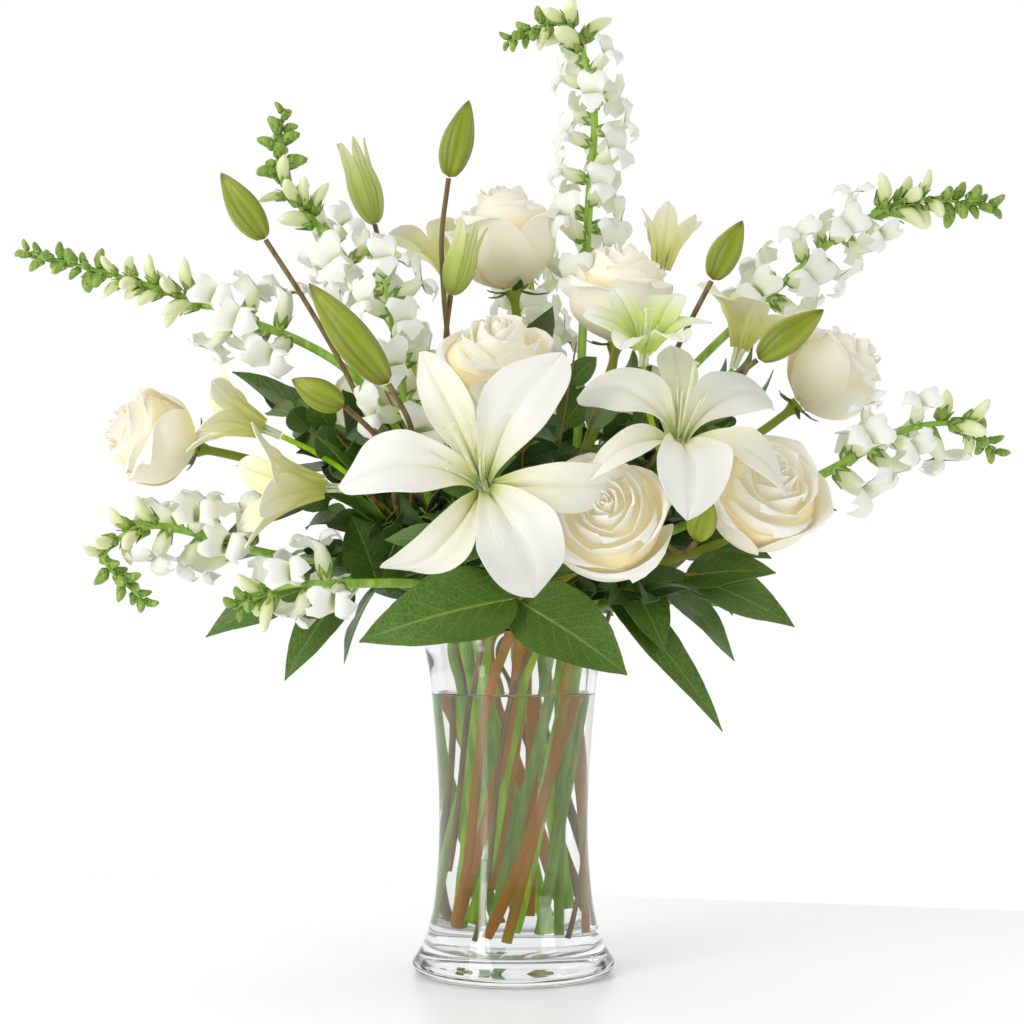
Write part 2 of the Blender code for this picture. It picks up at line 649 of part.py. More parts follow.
def main():
    clear_scene()
    group = collection("lilies_in_a_vase")
    helpers = collection("water_holes")
    glass = material("vase_glass", (0.95, 0.97, 0.97), 0.04, 1.0)
    water_finish = material("vase_water", (0.93, 0.97, 0.96), 0.03, 1.0)
    white = material("lily_petal", (0.88, 0.89, 0.82), 0.45)
    lime = material("lily_bud_skin", (0.50, 0.58, 0.20), 0.45)
    cream = material("rose_petal", (0.90, 0.87, 0.72), 0.55)
    floret = material("snapdragon_petal", (0.86, 0.88, 0.72), 0.50)
    green = material("stem_green", (0.28, 0.42, 0.12), 0.50)
    bark = material("rose_stem_green", (0.36, 0.30, 0.12), 0.50)
    leaf = material("lemon_leaf_green", (0.12, 0.24, 0.07), 0.40)

    lilies = {}
    for name, (ring_name, end, arrive, cut, *_) in LILY_STEMS.items():
        lilies[name] = Stem(name, ring_name, LILY_STEM, end, arrive, cut)
    roses = {}
    for key, (ring_name, centre, facing, width, cut, _) in ROSES.items():
        end = rose_seat(centre, facing, width) - Vector(facing).normalized() * (HIP / BOUQUET)
        roses[key] = Stem("rose_stem_" + key, ring_name, ROSE_STEM, end, facing, cut)
    spikes = {}
    for key, (ring_name, points, cut, _) in SNAPDRAGONS.items():
        arrive = Vector(points[1]) - Vector(points[0])
        spikes[key] = Stem("snapdragon_" + key, ring_name, SNAPDRAGON_STEM, points[0], arrive, cut)
    sprays = {}
    for key, (ring_name, end, arrive, cut, _) in SPRAYS.items():
        sprays[key] = Stem("lemon_leaf_" + key, ring_name, LEAF_STEM, end, arrive, cut)
    stems = [*lilies.values(), *roses.values(), *spikes.values(), *sprays.values()]
    deal_stems(stems)

    make_vase(glass, group)
    make_water(stems, water_finish, group, helpers)
    for name, (_, _, _, _, carried, leaves) in LILY_STEMS.items():
        stalks = []
        for head in carried:
            is_bud = head in LILY_BUDS
            seat = LILY_BUDS[head][0] if is_bud else LILY_FLOWERS[head][0]
            stalks.append((seat, bud_facing(head) if is_bud else LILY_FLOWERS[head][1]))
        lily_stem(lilies[name], stalks, leaves, green, group)
    for name, flower in LILY_FLOWERS.items():
        lily_flower(name, *flower, white, group)
    for name, (seat, tip) in LILY_BUDS.items():
        lily_bud(name, seat, tip, lime, group)
    for key, (_, centre, facing, width, _, leaves) in ROSES.items():
        rose_stem(roses[key], leaves, bark, group)
        rose_head("rose_bloom_" + key, centre, facing, width, cream, group)
    for key, (_, points, _, open_rows) in SNAPDRAGONS.items():
        snapdragon(spikes[key], points[1:], open_rows, floret, group)
    for key, (*_, leaves) in SPRAYS.items():
        leaf_spray(sprays[key], leaves, leaf, group)


main()
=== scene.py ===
# %% [markdown]
# # White lilies, roses and snapdragons in a glass vase
# A tall summer bouquet stands in a waisted glass vase that is nearly full of water. It is made of a
# few kinds of thing, each repeated many times: petals, leaves, florets, buds and stems.
# The plain model that this scene is built around already says where every stem runs and where
# every petal and leaf starts and ends, so each detailed piece is grown along those lines.

# %% Load the plain model
import math
import random

import bmesh
import bpy
from mathutils import Matrix, Quaternion, Vector
from mathutils.bvhtree import BVHTree


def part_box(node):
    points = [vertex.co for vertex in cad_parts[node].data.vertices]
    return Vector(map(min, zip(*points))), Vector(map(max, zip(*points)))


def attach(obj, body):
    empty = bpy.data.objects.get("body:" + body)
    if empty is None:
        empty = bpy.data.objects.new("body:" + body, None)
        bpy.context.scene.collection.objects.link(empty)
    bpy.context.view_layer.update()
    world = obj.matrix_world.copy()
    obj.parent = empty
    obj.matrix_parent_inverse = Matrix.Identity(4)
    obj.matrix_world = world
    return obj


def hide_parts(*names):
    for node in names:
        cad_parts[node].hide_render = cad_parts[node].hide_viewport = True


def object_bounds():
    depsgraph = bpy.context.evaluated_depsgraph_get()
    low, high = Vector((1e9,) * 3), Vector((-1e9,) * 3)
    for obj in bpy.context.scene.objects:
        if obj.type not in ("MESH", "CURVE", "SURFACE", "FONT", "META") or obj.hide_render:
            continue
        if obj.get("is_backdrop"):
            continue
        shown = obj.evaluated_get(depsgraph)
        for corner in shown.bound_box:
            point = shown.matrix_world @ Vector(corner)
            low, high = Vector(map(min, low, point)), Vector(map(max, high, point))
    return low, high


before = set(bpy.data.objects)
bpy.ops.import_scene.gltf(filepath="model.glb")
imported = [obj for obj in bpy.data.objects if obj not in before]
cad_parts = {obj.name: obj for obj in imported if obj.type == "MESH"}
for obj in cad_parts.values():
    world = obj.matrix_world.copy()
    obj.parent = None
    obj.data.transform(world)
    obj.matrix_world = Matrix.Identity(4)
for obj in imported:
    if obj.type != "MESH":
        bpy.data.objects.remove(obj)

cad_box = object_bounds()
bpy.ops.object.select_all(action="DESELECT")
bpy.context.scene.view_settings.view_transform = "Standard"
MM = 0.001
print("plain model from", tuple(cad_box[0]), "to", tuple(cad_box[1]))

# %% [markdown]
# ## Reading a stem
# Every solid in the plain model was grown ring by ring: six corners to a ring along a stem, and
# four along a leaf, a petal or a side stalk. A ring is found from its neighbour, because each of
# its corners is joined to one of the neighbour's. The tip of a leaf is the only ring of four whose
# neighbours are again exactly four corners, so that is where the reading of a leaf begins.


# %% Corners and their neighbours
def corners(node):
    """The corners of a plain solid, which corners each one is joined to, and its triangles."""
    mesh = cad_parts[node].data
    mesh.calc_loop_triangles()
    number, points, same = {}, [], []
    for vert in mesh.vertices:
        key = tuple(round(c / (0.01 * MM)) for c in vert.co)
        if key not in number:
            number[key] = len(points)
            points.append(vert.co.copy())
        same.append(number[key])
    triangles = [tuple(same[i] for i in t.vertices) for t in mesh.loop_triangles]
    triangles = [t for t in triangles if len(set(t)) == 3]
    near = [set() for _ in points]
    for t in triangles:
        for i in t:
            near[i] |= set(t) - {i}
    return points, near, triangles


def follow(ring, near, allowed, size=None):
    """The rings that follow one ring, as sets of corner numbers."""
    chain, used = [set(ring)], set(ring)
    while True:
        following = (set().union(*(near[i] for i in chain[-1])) & allowed) - used
        if not following or (size and len(following) != size):
            return chain
        chain.append(following)
        used |= following


def spots(points, chain):
    """The places of the corners in each ring of a chain."""
    return [[points[i] for i in ring] for ring in chain]


def middle(ring):
    """The middle of a ring of places."""
    return sum(ring, Vector()) / len(ring)


def ring_radius(ring):
    """How far a ring's corners are from its middle."""
    centre = middle(ring)
    return sum((p - centre).length for p in ring) / len(ring)


print("rose_stem_1 has", len(corners("rose_stem_1")[0]), "corners")


# %% Limbs and stems
BLADE_HALF_WIDTH = 3.2 * MM  # a limb that is no wider than this is a stalk
WIDEST_RING = 2.2  # six corners that lie wider than this many cut ends are not a ring of the stem


def read_limbs(node):
    """Limbs of a solid, each a list of rings from root to tip, and the corners left for its stem."""
    points, near, triangles = corners(node)
    everything = set(range(len(points)))
    by_edge = {}
    for t in triangles:
        for a, b in ((0, 1), (1, 2), (2, 0)):
            by_edge.setdefault(frozenset((t[a], t[b])), []).append(set(t))
    limbs, tried = [], set()
    for pair in by_edge.values():
        quad = frozenset().union(*pair)
        if len(quad) != 4 or quad in tried:
            continue
        tried.add(quad)
        chain = follow(quad, near, everything, size=4)
        if len(chain) >= 3:
            limbs.append(chain[::-1])
    inner = set().union(*(set().union(*limb[1:]) for limb in limbs)) if limbs else set()
    return points, near, limbs, everything - inner


def read_stem(node):
    """A stem's middle line and radii from its cut end up, and its limbs as lists of corner rings."""
    points, near, limbs, rest = read_limbs(node)
    lowest = sorted(rest, key=lambda i: points[i].z)[:6]
    path, radii = [], []
    for ring in spots(points, follow(lowest, near, rest)):
        radius = ring_radius(ring)
        if len(ring) == 6 and (not radii or radius < WIDEST_RING * radii[0]):
            path.append(middle(ring))
            radii.append(radius)
    return path, radii, [spots(points, limb) for limb in limbs]


def rib(ring):
    """Middle, half-width and face of a leaf's or petal's ring of four corners."""
    pairs = [(a, b) for i, a in enumerate(ring) for b in ring[i + 1 :]]
    left, right = max(pairs, key=lambda p: (p[0] - p[1]).length)
    folded = [p for p in ring if p is not left and p is not right]
    centre = (left + right) / 2
    return centre, (right - left) / 2, centre - (folded[0] + folded[1]) / 2


def is_blade(limb):
    """Whether a limb is broad and thin, as a leaf is."""
    _, half, _ = rib(limb[len(limb) // 2])
    return half.length > BLADE_HALF_WIDTH


stem_check = read_stem("rose_stem_1")
print("rose_stem_1 runs through", len(stem_check[0]), "rings to", tuple(stem_check[0][-1]))

# %% [markdown]
# ## Smooth lines
# The plain rings stand a few centimetres apart. A living stem has no corners, so a smooth curve is
# drawn through the rings' middles, and everything is measured along that curve.


# %% A curve through points
class Line:
    """A smooth curve through points, measured from 0 at its start to 1 at its end."""

    def __init__(self, points):
        self.points = [Vector(p) for p in points]
        self.at_knot = [0.0]
        for a, b in zip(self.points, self.points[1:]):
            self.at_knot.append(self.at_knot[-1] + max((b - a).length, 1e-6))
        self.length = self.at_knot[-1]
        self.slopes = []
        for i, p in enumerate(self.points):
            before, after = self.slope(i - 1), self.slope(i)
            if before is None or after is None:
                self.slopes.append((before or after).copy())
                continue
            a = self.at_knot[i] - self.at_knot[i - 1]
            b = self.at_knot[i + 1] - self.at_knot[i]
            self.slopes.append((before * b + after * a) / (a + b))

    def slope(self, i):
        if i < 0 or i + 1 >= len(self.points):
            return None
        return (self.points[i + 1] - self.points[i]) / (self.at_knot[i + 1] - self.at_knot[i])

    def place(self, share):
        """The knot before a share of the length, and how far past it that is."""
        along = min(max(share, 0.0), 1.0) * self.length
        i = max(k for k, knot in enumerate(self.at_knot[:-1]) if knot <= along + 1e-9)
        return i, (along - self.at_knot[i]) / (self.at_knot[i + 1] - self.at_knot[i])

    def at(self, share):
        i, t = self.place(share)
        gap = self.at_knot[i + 1] - self.at_knot[i]
        a, b = self.points[i], self.points[i + 1]
        ease = 3 * t * t - 2 * t**3
        bend = self.slopes[i] * (t**3 - 2 * t * t + t) + self.slopes[i + 1] * (t**3 - t * t)
        return a * (1 - ease) + b * ease + bend * gap

    def mix(self, values, share):
        """The value at a share of the length, from one value for each point."""
        i, t = self.place(share)
        return values[i] * (1 - t) + values[i + 1] * t

    def along(self, share):
        step = 0.004
        return (self.at(share + step) - self.at(share - step)).normalized()


def smooth_step(low, high, value):
    """0 below low, 1 above high, and an even rise between them."""
    t = min(max((value - low) / (high - low), 0.0), 1.0)
    return t * t * (3 - 2 * t)


def between(a, b, share):
    return a + (b - a) * share


def polar(radius, angle, height=0.0):
    """The place at a radius, an angle and a height about +Z."""
    return Vector((radius * math.cos(angle), radius * math.sin(angle), height))


print("the line up rose_stem_1 is", round(Line(stem_check[0]).length / MM), "mm long")


# %% Adding and finishing pieces
all_pieces = []
TOUCHING = 0.01 * MM  # corners of the glass that are this near are one corner


def activate(obj):
    bpy.ops.object.select_all(action="DESELECT")
    obj.select_set(True)
    bpy.context.view_layer.objects.active = obj


def apply_modifier(obj, kind, **values):
    """Adds a modifier, sets it and applies it."""
    activate(obj)
    modifier = obj.modifiers.new(kind.lower(), kind)
    for key, value in values.items():
        setattr(modifier, key, value)
    bpy.ops.object.modifier_apply(modifier=modifier.name)


def join(name, parts):
    """Joins parts into one piece called name."""
    bpy.ops.object.select_all(action="DESELECT")
    for part in parts:
        part.select_set(True)
    bpy.context.view_layer.objects.active = parts[0]
    if len(parts) > 1:
        bpy.ops.object.join()
    parts[0].name = name
    parts[0].data.name = name
    return parts[0]


def sheet(rows, across, point):
    """A grid whose corners go where point(u, v) says: u is -1 to 1 across it, v is 0 to 1 along."""
    bpy.ops.mesh.primitive_grid_add(x_subdivisions=across, y_subdivisions=rows, size=2, calc_uvs=True)
    made = bpy.context.object
    for vert in made.data.vertices:
        vert.co = point(vert.co.x, (vert.co.y + 1) / 2)
    return made


def stack(name, rows, across, points):
    """Many grids in one mesh. points is one point(u, v) for each grid."""
    return join(name, [sheet(rows, across, point) for point in points])


def thicken(obj, thickness):
    """Gives a sheet its thickness and shades it smooth."""
    apply_modifier(obj, "SOLIDIFY", thickness=thickness, offset=0.0, use_even_offset=False)
    bpy.ops.object.shade_smooth()
    return obj


def crease(obj, angle=60):
    """Shades a piece smooth, and leaves an edge crisp where it bends by more than an angle."""
    activate(obj)
    bpy.ops.object.shade_smooth_by_angle(angle=math.radians(angle))
    return obj


def weld(obj, gap):
    """Makes one corner of those that are within a gap, and turns every face outwards."""
    activate(obj)
    bpy.ops.object.mode_set(mode="EDIT")
    bpy.ops.mesh.select_all(action="SELECT")
    bpy.ops.mesh.remove_doubles(threshold=gap)
    bpy.ops.mesh.normals_make_consistent(inside=False)
    bpy.ops.object.mode_set(mode="OBJECT")
    return obj


def add_object(name, data):
    """Puts a new object into the scene."""
    made = bpy.data.objects.new(name, data)
    bpy.context.scene.collection.objects.link(made)
    return made


def tubes(name, runs, sides=3):
    """One mesh of closed round tubes. runs holds (line, radius at a share, number of points)."""
    curve = bpy.data.curves.new(name, "CURVE")
    curve.dimensions = "3D"
    curve.bevel_depth = 1.0
    curve.bevel_resolution = sides
    curve.use_fill_caps = True
    for line, radius, count in runs:
        spline = curve.splines.new("POLY")
        spline.points.add(count - 1)
        for i, point in enumerate(spline.points):
            share = i / (count - 1)
            point.co = (*line.at(share), 1.0)
            point.radius = radius(share)
    made = add_object(name, curve)
    activate(made)
    bpy.ops.object.convert(target="MESH")
    bpy.ops.object.shade_smooth()
    return bpy.context.object


def stem_run(path, radii, count, fullness=1.0, knots=0.0):
    """A run for tubes that keeps a stem's own radii. knots is how much its leaf scars swell it."""
    line = Line(path)
    return line, lambda s: line.mix(radii, s) * fullness * (1 + knots * math.sin(70 * s)), count


def settle(obj, finish, slot, *nodes):
    """Gives a piece its finish, unless its parts have theirs, hangs it under the root, and hides the solids
    it stands for.
    """
    if finish:
        obj.data.materials.append(finish)
    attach(obj, "root")
    if nodes:
        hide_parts(*nodes)
    all_pieces.append(obj)
    return obj


# %% [markdown]
# ## Finishes
# Nothing here is painted with pictures. Every finish is worked out by shader nodes, from the
# piece's own map (u across a petal, v from its root to its tip) or from where a point is.


# %% Helpers for shader nodes
BLACK = (0.0, 0.0, 0.0)
WHITE = (1.0, 1.0, 1.0)


def math_of(tree, operation, a, b=0.0, clamp=False):
    made = tree.nodes.new("ShaderNodeMath")
    made.operation = operation
    made.use_clamp = clamp
    for socket, value in zip(made.inputs, (a, b)):
        if hasattr(value, "is_output"):
            tree.links.new(value, socket)
        else:
            socket.default_value = value
    return made.outputs[0]


def plus(tree, a, b):
    return math_of(tree, "ADD", a, b)


def times(tree, a, b):
    return math_of(tree, "MULTIPLY", a, b)


def scaled(tree, value, scale, start, clamp=False):
    """A value times a scale, plus a start."""
    made = math_of(tree, "MULTIPLY_ADD", value, scale, clamp)
    made.node.inputs[2].default_value = start
    return made


def mix_of(tree, share, a, b):
    made = tree.nodes.new("ShaderNodeMix")
    made.data_type = "RGBA"
    for socket, value in zip((made.inputs[0], made.inputs[6], made.inputs[7]), (share, a, b)):
        if hasattr(value, "is_output"):
            tree.links.new(value, socket)
        else:
            socket.default_value = value if isinstance(value, float) else (*value, 1.0)
    return made.outputs[2]


def ramp_of(tree, share, stops):
    made = tree.nodes.new("ShaderNodeValToRGB")
    elements = made.color_ramp.elements
    while len(elements) < len(stops):
        elements.new(0.5)
    for element, (position, colour) in zip(elements, stops):
        element.position = position
        element.color = (*colour, 1.0)
    tree.links.new(share, made.inputs[0])
    return made.outputs[0]


def noise_of(tree, where, scale, detail=3.0, stretch=(1, 1, 1)):
    """Soft noise from 0 to 1 at a place."""
    mapping = tree.nodes.new("ShaderNodeMapping")
    mapping.inputs["Scale"].default_value = stretch
    made = tree.nodes.new("ShaderNodeTexNoise")
    made.inputs["Scale"].default_value = scale
    made.inputs["Detail"].default_value = detail
    tree.links.new(where, mapping.inputs[0])
    tree.links.new(mapping.outputs[0], made.inputs["Vector"])
    return made.outputs["Fac"]


def bump_of(tree, height, strength, distance):
    made = tree.nodes.new("ShaderNodeBump")
    made.inputs["Strength"].default_value = strength
    made.inputs["Distance"].default_value = distance
    tree.links.new(height, made.inputs["Height"])
    return made.outputs[0]


def feed(tree, shader, output, *sockets):
    """Joins an output to some of the shader's sockets."""
    for socket in sockets:
        tree.links.new(output, shader.inputs[socket])


def new_finish(name, roughness, **fixed):
    """A new material, its node tree, its shader, and the places that patterns are drawn from."""
    made = bpy.data.materials.new(name)
    made.use_nodes = True
    tree = made.node_tree
    shader = tree.nodes["Principled BSDF"]
    shader.inputs["Roughness"].default_value = roughness
    for key, value in fixed.items():
        shader.inputs[key.replace("_", " ")].default_value = value
    where = tree.nodes.new("ShaderNodeTexCoord")
    split = tree.nodes.new("ShaderNodeSeparateXYZ")
    tree.links.new(where.outputs["UV"], split.inputs[0])
    return made, tree, shader, where.outputs["Object"], split.outputs[0], split.outputs[1]


# %% [markdown]
# ### Veins
# A lily's or rose's petal has fine veins that run from root to tip. A leaf has one midrib with side
# veins that leave it in pairs and curve forwards. Both patterns are node groups, because several
# finishes use them.


# %% The vein groups
def new_vein_group(name):
    """An empty group that takes a place on a petal or a leaf and gives its veins and its rib."""
    group = bpy.data.node_groups.new(name, "ShaderNodeTree")
    for label in ("Across", "Along", "Count"):
        group.interface.new_socket(label, in_out="INPUT", socket_type="NodeSocketFloat")
    for label in ("Veins", "Rib"):
        group.interface.new_socket(label, in_out="OUTPUT", socket_type="NodeSocketFloat")
    return group, group.nodes.new("NodeGroupInput").outputs, group.nodes.new("NodeGroupOutput").inputs


def petal_vein_group():
    """Fine lines that run along a petal and gather towards its root."""
    group, ins, outs = new_vein_group("petal_veins")
    centred = math_of(group, "SUBTRACT", ins["Across"], 0.5)
    away = math_of(group, "ABSOLUTE", centred)
    phase = times(group, centred, ins["Count"])
    wave = math_of(group, "SINE", times(group, phase, 2 * math.pi))
    fade = math_of(group, "SUBTRACT", 1.15, ins["Along"], clamp=True)
    group.links.new(times(group, scaled(group, wave, 0.5, 0.5), fade), outs["Veins"])
    rib_line = scaled(group, away, -9.0, 1.0, clamp=True)
    group.links.new(times(group, rib_line, fade), outs["Rib"])
    return group


def leaf_vein_group():
    """A midrib, and side veins that leave it in pairs and run forwards to the edge."""
    group, ins, outs = new_vein_group("leaf_veins")
    away = math_of(group, "ABSOLUTE", math_of(group, "SUBTRACT", ins["Across"], 0.5))
    lean = times(group, math_of(group, "POWER", away, 0.85), 0.52)
    phase = times(group, math_of(group, "SUBTRACT", ins["Along"], lean), ins["Count"])
    nearest = math_of(group, "ABSOLUTE", math_of(group, "SUBTRACT", math_of(group, "FRACT", phase), 0.5))
    side = scaled(group, nearest, -11.0, 1.0, clamp=True)
    thin = scaled(group, away, -1.7, 1.0, clamp=True)
    group.links.new(times(group, side, thin), outs["Veins"])
    group.links.new(scaled(group, away, -34.0, 1.0, clamp=True), outs["Rib"])
    return group


PETAL_VEINS = petal_vein_group()
LEAF_VEINS = leaf_vein_group()
print("vein groups:", PETAL_VEINS.name, "and", LEAF_VEINS.name)


def veins(tree, group, across, along, count):
    made = tree.nodes.new("ShaderNodeGroup")
    made.node_tree = group
    tree.links.new(across, made.inputs["Across"])
    tree.links.new(along, made.inputs["Along"])
    made.inputs["Count"].default_value = count
    return made.outputs["Veins"], made.outputs["Rib"]


# %% [markdown]
# ### Petals
# A petal is nearly white, but light comes through it, so it is given a little subsurface
# scattering, and it also glows faintly in its own colour: painted light that stands in for the light
# that comes through the petals and fills their depths. Its colour runs from the throat to the tip:
# green and yellow in a lily, butter cream in a rose, and a breath of green in a snapdragon. The
# inner tepals of an open lily are a little warmer than its outer ones.


# %% Petal finishes
def petal_finish(name, stops, rib, vein, count, roughness=0.42, painted_glow=0.05):
    """A petal's finish. stops run from root to tip, rib and vein are each (colour, strength), and
    painted_glow is painted light: a glow in the petal's own colour.
    """
    made, tree, shader, where, across, along = new_finish(
        name, roughness, Subsurface_Weight=0.15, Subsurface_Radius=(1.0, 0.85, 0.5),
        Subsurface_Scale=4.0 * MM, Specular_IOR_Level=0.35, Sheen_Weight=0.08, Emission_Strength=painted_glow,
    )
    lines, rib_line = veins(tree, PETAL_VEINS, across, along, count)
    cloud = noise_of(tree, where, 60.0)
    colour = ramp_of(tree, plus(tree, along, scaled(tree, cloud, 0.16, -0.08)), stops)
    for pattern, (tint, strength) in ((rib_line, rib), (lines, vein)):
        colour = mix_of(tree, times(tree, pattern, strength), colour, tint)
    feed(tree, shader, colour, "Base Color", "Emission Color")
    grain = noise_of(tree, where, 900.0, 2.0)
    height = plus(tree, times(tree, lines, -0.35), times(tree, grain, 0.35))
    feed(tree, shader, bump_of(tree, height, 0.35, 0.5 * MM), "Normal")
    feed(tree, shader, scaled(tree, grain, 0.12, roughness - 0.06), "Roughness")
    return made


lily_white = petal_finish(
    "lily_white",
    ((0.0, (0.34, 0.46, 0.07)), (0.10, (0.62, 0.68, 0.24)),
     (0.22, (0.84, 0.83, 0.62)), (0.5, (0.88, 0.87, 0.80))),
    rib=((0.76, 0.77, 0.56), 0.45), vein=((0.78, 0.78, 0.66), 0.24), count=15.0, painted_glow=0.03,
)
lily_warm = petal_finish(
    "lily_warm_white",
    ((0.0, (0.36, 0.46, 0.06)), (0.12, (0.66, 0.68, 0.22)),
     (0.30, (0.85, 0.83, 0.58)), (0.7, (0.88, 0.865, 0.74))),
    rib=((0.74, 0.72, 0.42), 0.55), vein=((0.78, 0.75, 0.52), 0.28), count=15.0, painted_glow=0.03,
)
lily_green = petal_finish(
    "lily_green_throat",
    ((0.0, (0.34, 0.52, 0.05)), (0.35, (0.56, 0.72, 0.16)),
     (0.65, (0.80, 0.84, 0.52)), (0.9, (0.88, 0.89, 0.78))),
    rib=((0.52, 0.66, 0.14), 0.75), vein=((0.74, 0.80, 0.42), 0.22), count=13.0,
)
lily_cream = petal_finish(
    "lily_cream_back",
    ((0.0, (0.44, 0.50, 0.06)), (0.30, (0.72, 0.72, 0.24)),
     (0.60, (0.84, 0.83, 0.50)), (0.95, (0.90, 0.89, 0.74))),
    rib=((0.58, 0.60, 0.12), 0.65), vein=((0.76, 0.75, 0.34), 0.25), count=13.0, painted_glow=0.08,
)
rose_cream = petal_finish(
    "rose_cream",
    ((0.0, (0.86, 0.74, 0.44)), (0.45, (0.91, 0.86, 0.66)),
     (0.78, (0.93, 0.905, 0.79)), (1.0, (0.94, 0.925, 0.85))),
    rib=((0.91, 0.88, 0.74), 0.10), vein=((0.90, 0.86, 0.70), 0.10), count=19.0,
    roughness=0.55, painted_glow=0.085,
)
# The rose's heart glows more than its petals: painted light in the depths of the flower.
rose_deep = petal_finish(
    "rose_deep",
    ((0.0, (0.90, 0.74, 0.36)), (0.40, (0.91, 0.79, 0.46)),
     (0.70, (0.92, 0.83, 0.56)), (1.0, (0.92, 0.84, 0.60))),
    rib=((0.90, 0.80, 0.48), 0.10), vein=((0.90, 0.80, 0.48), 0.20), count=30.0,
    roughness=0.6, painted_glow=0.13,
)
floret_white = petal_finish(
    "snapdragon_white",
    ((0.0, (0.50, 0.62, 0.20)), (0.30, (0.80, 0.84, 0.56)),
     (0.60, (0.90, 0.91, 0.80)), (1.0, (0.92, 0.93, 0.88))),
    rib=((0.86, 0.88, 0.66), 0.15), vein=((0.84, 0.87, 0.66), 0.15), count=12.0, roughness=0.55,
)
petal_finishes = (lily_white, lily_warm, lily_green, lily_cream, rose_cream, rose_deep, floret_white)
print("petal finishes:", [finish.name for finish in petal_finishes])


# %% [markdown]
# ### Greens
# A leaf is dark and a little shiny, with pale veins and a fine net between them. Stems and buds are
# smooth and waxy, with long soft streaks. Rose stems are browner in the vase than above it, and the
# lilies' flower stalks are nearly purple. Most stems and twigs also glow faintly in their own colour:
# painted light that keeps them bright where they stand in the water behind the glass.


# %% Leaf and stem finishes
RIM_BLEND = 50 * MM  # a stem that changes colour above the vase does so over this height
vase_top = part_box("vase")[1].z


def leaf_finish(name, dark, light, vein, count, roughness=0.34):
    made, tree, shader, where, across, along = new_finish(
        name, roughness, Specular_IOR_Level=0.5, Subsurface_Weight=0.05, Subsurface_Scale=1.5 * MM
    )
    side, rib_line = veins(tree, LEAF_VEINS, across, along, count)
    cells = tree.nodes.new("ShaderNodeTexVoronoi")
    cells.feature = "DISTANCE_TO_EDGE"
    cells.inputs["Scale"].default_value = 330.0
    tree.links.new(where, cells.inputs["Vector"])
    net = ramp_of(tree, cells.outputs["Distance"], ((0.0, WHITE), (0.12, BLACK)))
    colour = mix_of(tree, noise_of(tree, where, 38.0, 4.0), dark, light)
    for pattern, strength in ((side, 0.42), (rib_line, 0.85), (net, 0.22)):
        colour = mix_of(tree, times(tree, pattern, strength), colour, vein)
    feed(tree, shader, colour, "Base Color")
    quilt = plus(tree, side, rib_line)
    grain = plus(tree, noise_of(tree, where, 420.0), times(tree, net, -0.8))
    height = plus(tree, times(tree, quilt, -0.6), times(tree, grain, 0.4))
    feed(tree, shader, bump_of(tree, height, 0.5, 0.6 * MM), "Normal")
    feed(tree, shader, scaled(tree, noise_of(tree, where, 90.0), 0.22, roughness - 0.10), "Roughness")
    return made


def stem_finish(
    name, main, other, streak=26.0, roughness=0.42, blotch=None, painted_glow=0.0, above=None, shine=0.45
):
    """A streaked stem. blotch is a third colour in patches, above is its colour over the vase, and
    painted_glow is painted light: a glow in the stem's own colour.
    """
    made, tree, shader, where, _, _ = new_finish(
        name, roughness, Specular_IOR_Level=shine, Emission_Strength=painted_glow
    )
    long = noise_of(tree, where, streak, 4.0, (9, 9, 1))
    colour = mix_of(tree, ramp_of(tree, long, ((0.35, BLACK), (0.65, WHITE))), main, other)
    if blotch:
        patch = ramp_of(tree, noise_of(tree, where, 14.0, 2.0), ((0.52, BLACK), (0.66, WHITE)))
        colour = mix_of(tree, patch, colour, blotch)
    if above:
        place = tree.nodes.new("ShaderNodeSeparateXYZ")
        tree.links.new(where, place.inputs[0])
        over_vase = scaled(tree, place.outputs[2], 1 / RIM_BLEND, -vase_top / RIM_BLEND, clamp=True)
        colour = mix_of(tree, over_vase, colour, above)
    feed(tree, shader, colour, "Base Color", "Emission Color")
    grain = noise_of(tree, where, 700.0, 2.0, (3, 3, 1))
    feed(tree, shader, bump_of(tree, grain, 0.25, 0.4 * MM), "Normal")
    feed(tree, shader, scaled(tree, long, 0.18, roughness - 0.08), "Roughness")
    return made


lemon_leaf = leaf_finish(
    "lemon_leaf", (0.040, 0.115, 0.010), (0.115, 0.225, 0.022), (0.27, 0.42, 0.08), 8.0
)
rose_leaf = leaf_finish(
    "rose_leaf", (0.030, 0.085, 0.016), (0.075, 0.150, 0.030), (0.16, 0.27, 0.08), 9.0, 0.42
)
lily_leaf = leaf_finish(
    "lily_leaf", (0.045, 0.130, 0.012), (0.110, 0.240, 0.025), (0.17, 0.32, 0.05), 0.6, 0.30
)
WET_SHINE = 0.10  # a wet stem mirrors little under water
# The stems glow in their own colour: painted light, because little light reaches them through the glass and
# water.
lily_stem_green = stem_finish(
    "lily_stem_green", (0.15, 0.36, 0.004), (0.38, 0.58, 0.015), painted_glow=0.26, shine=WET_SHINE
)
rose_bark = stem_finish(
    "rose_bark", (0.34, 0.20, 0.006), (0.50, 0.17, 0.012), blotch=(0.24, 0.42, 0.01), painted_glow=0.24,
    above=(0.19, 0.25, 0.03), shine=WET_SHINE,
)
stalk_purple = stem_finish("lily_stalk_purple", (0.11, 0.040, 0.025), (0.24, 0.19, 0.04), painted_glow=0.05)
midrib_green = stem_finish("midrib_green", (0.20, 0.32, 0.05), (0.34, 0.46, 0.10))
spike_green = stem_finish("spike_green", (0.20, 0.38, 0.03), (0.36, 0.55, 0.09), painted_glow=0.12)
leaf_wood = stem_finish("lemon_leaf_wood", (0.16, 0.15, 0.020), (0.34, 0.19, 0.04), painted_glow=0.12)
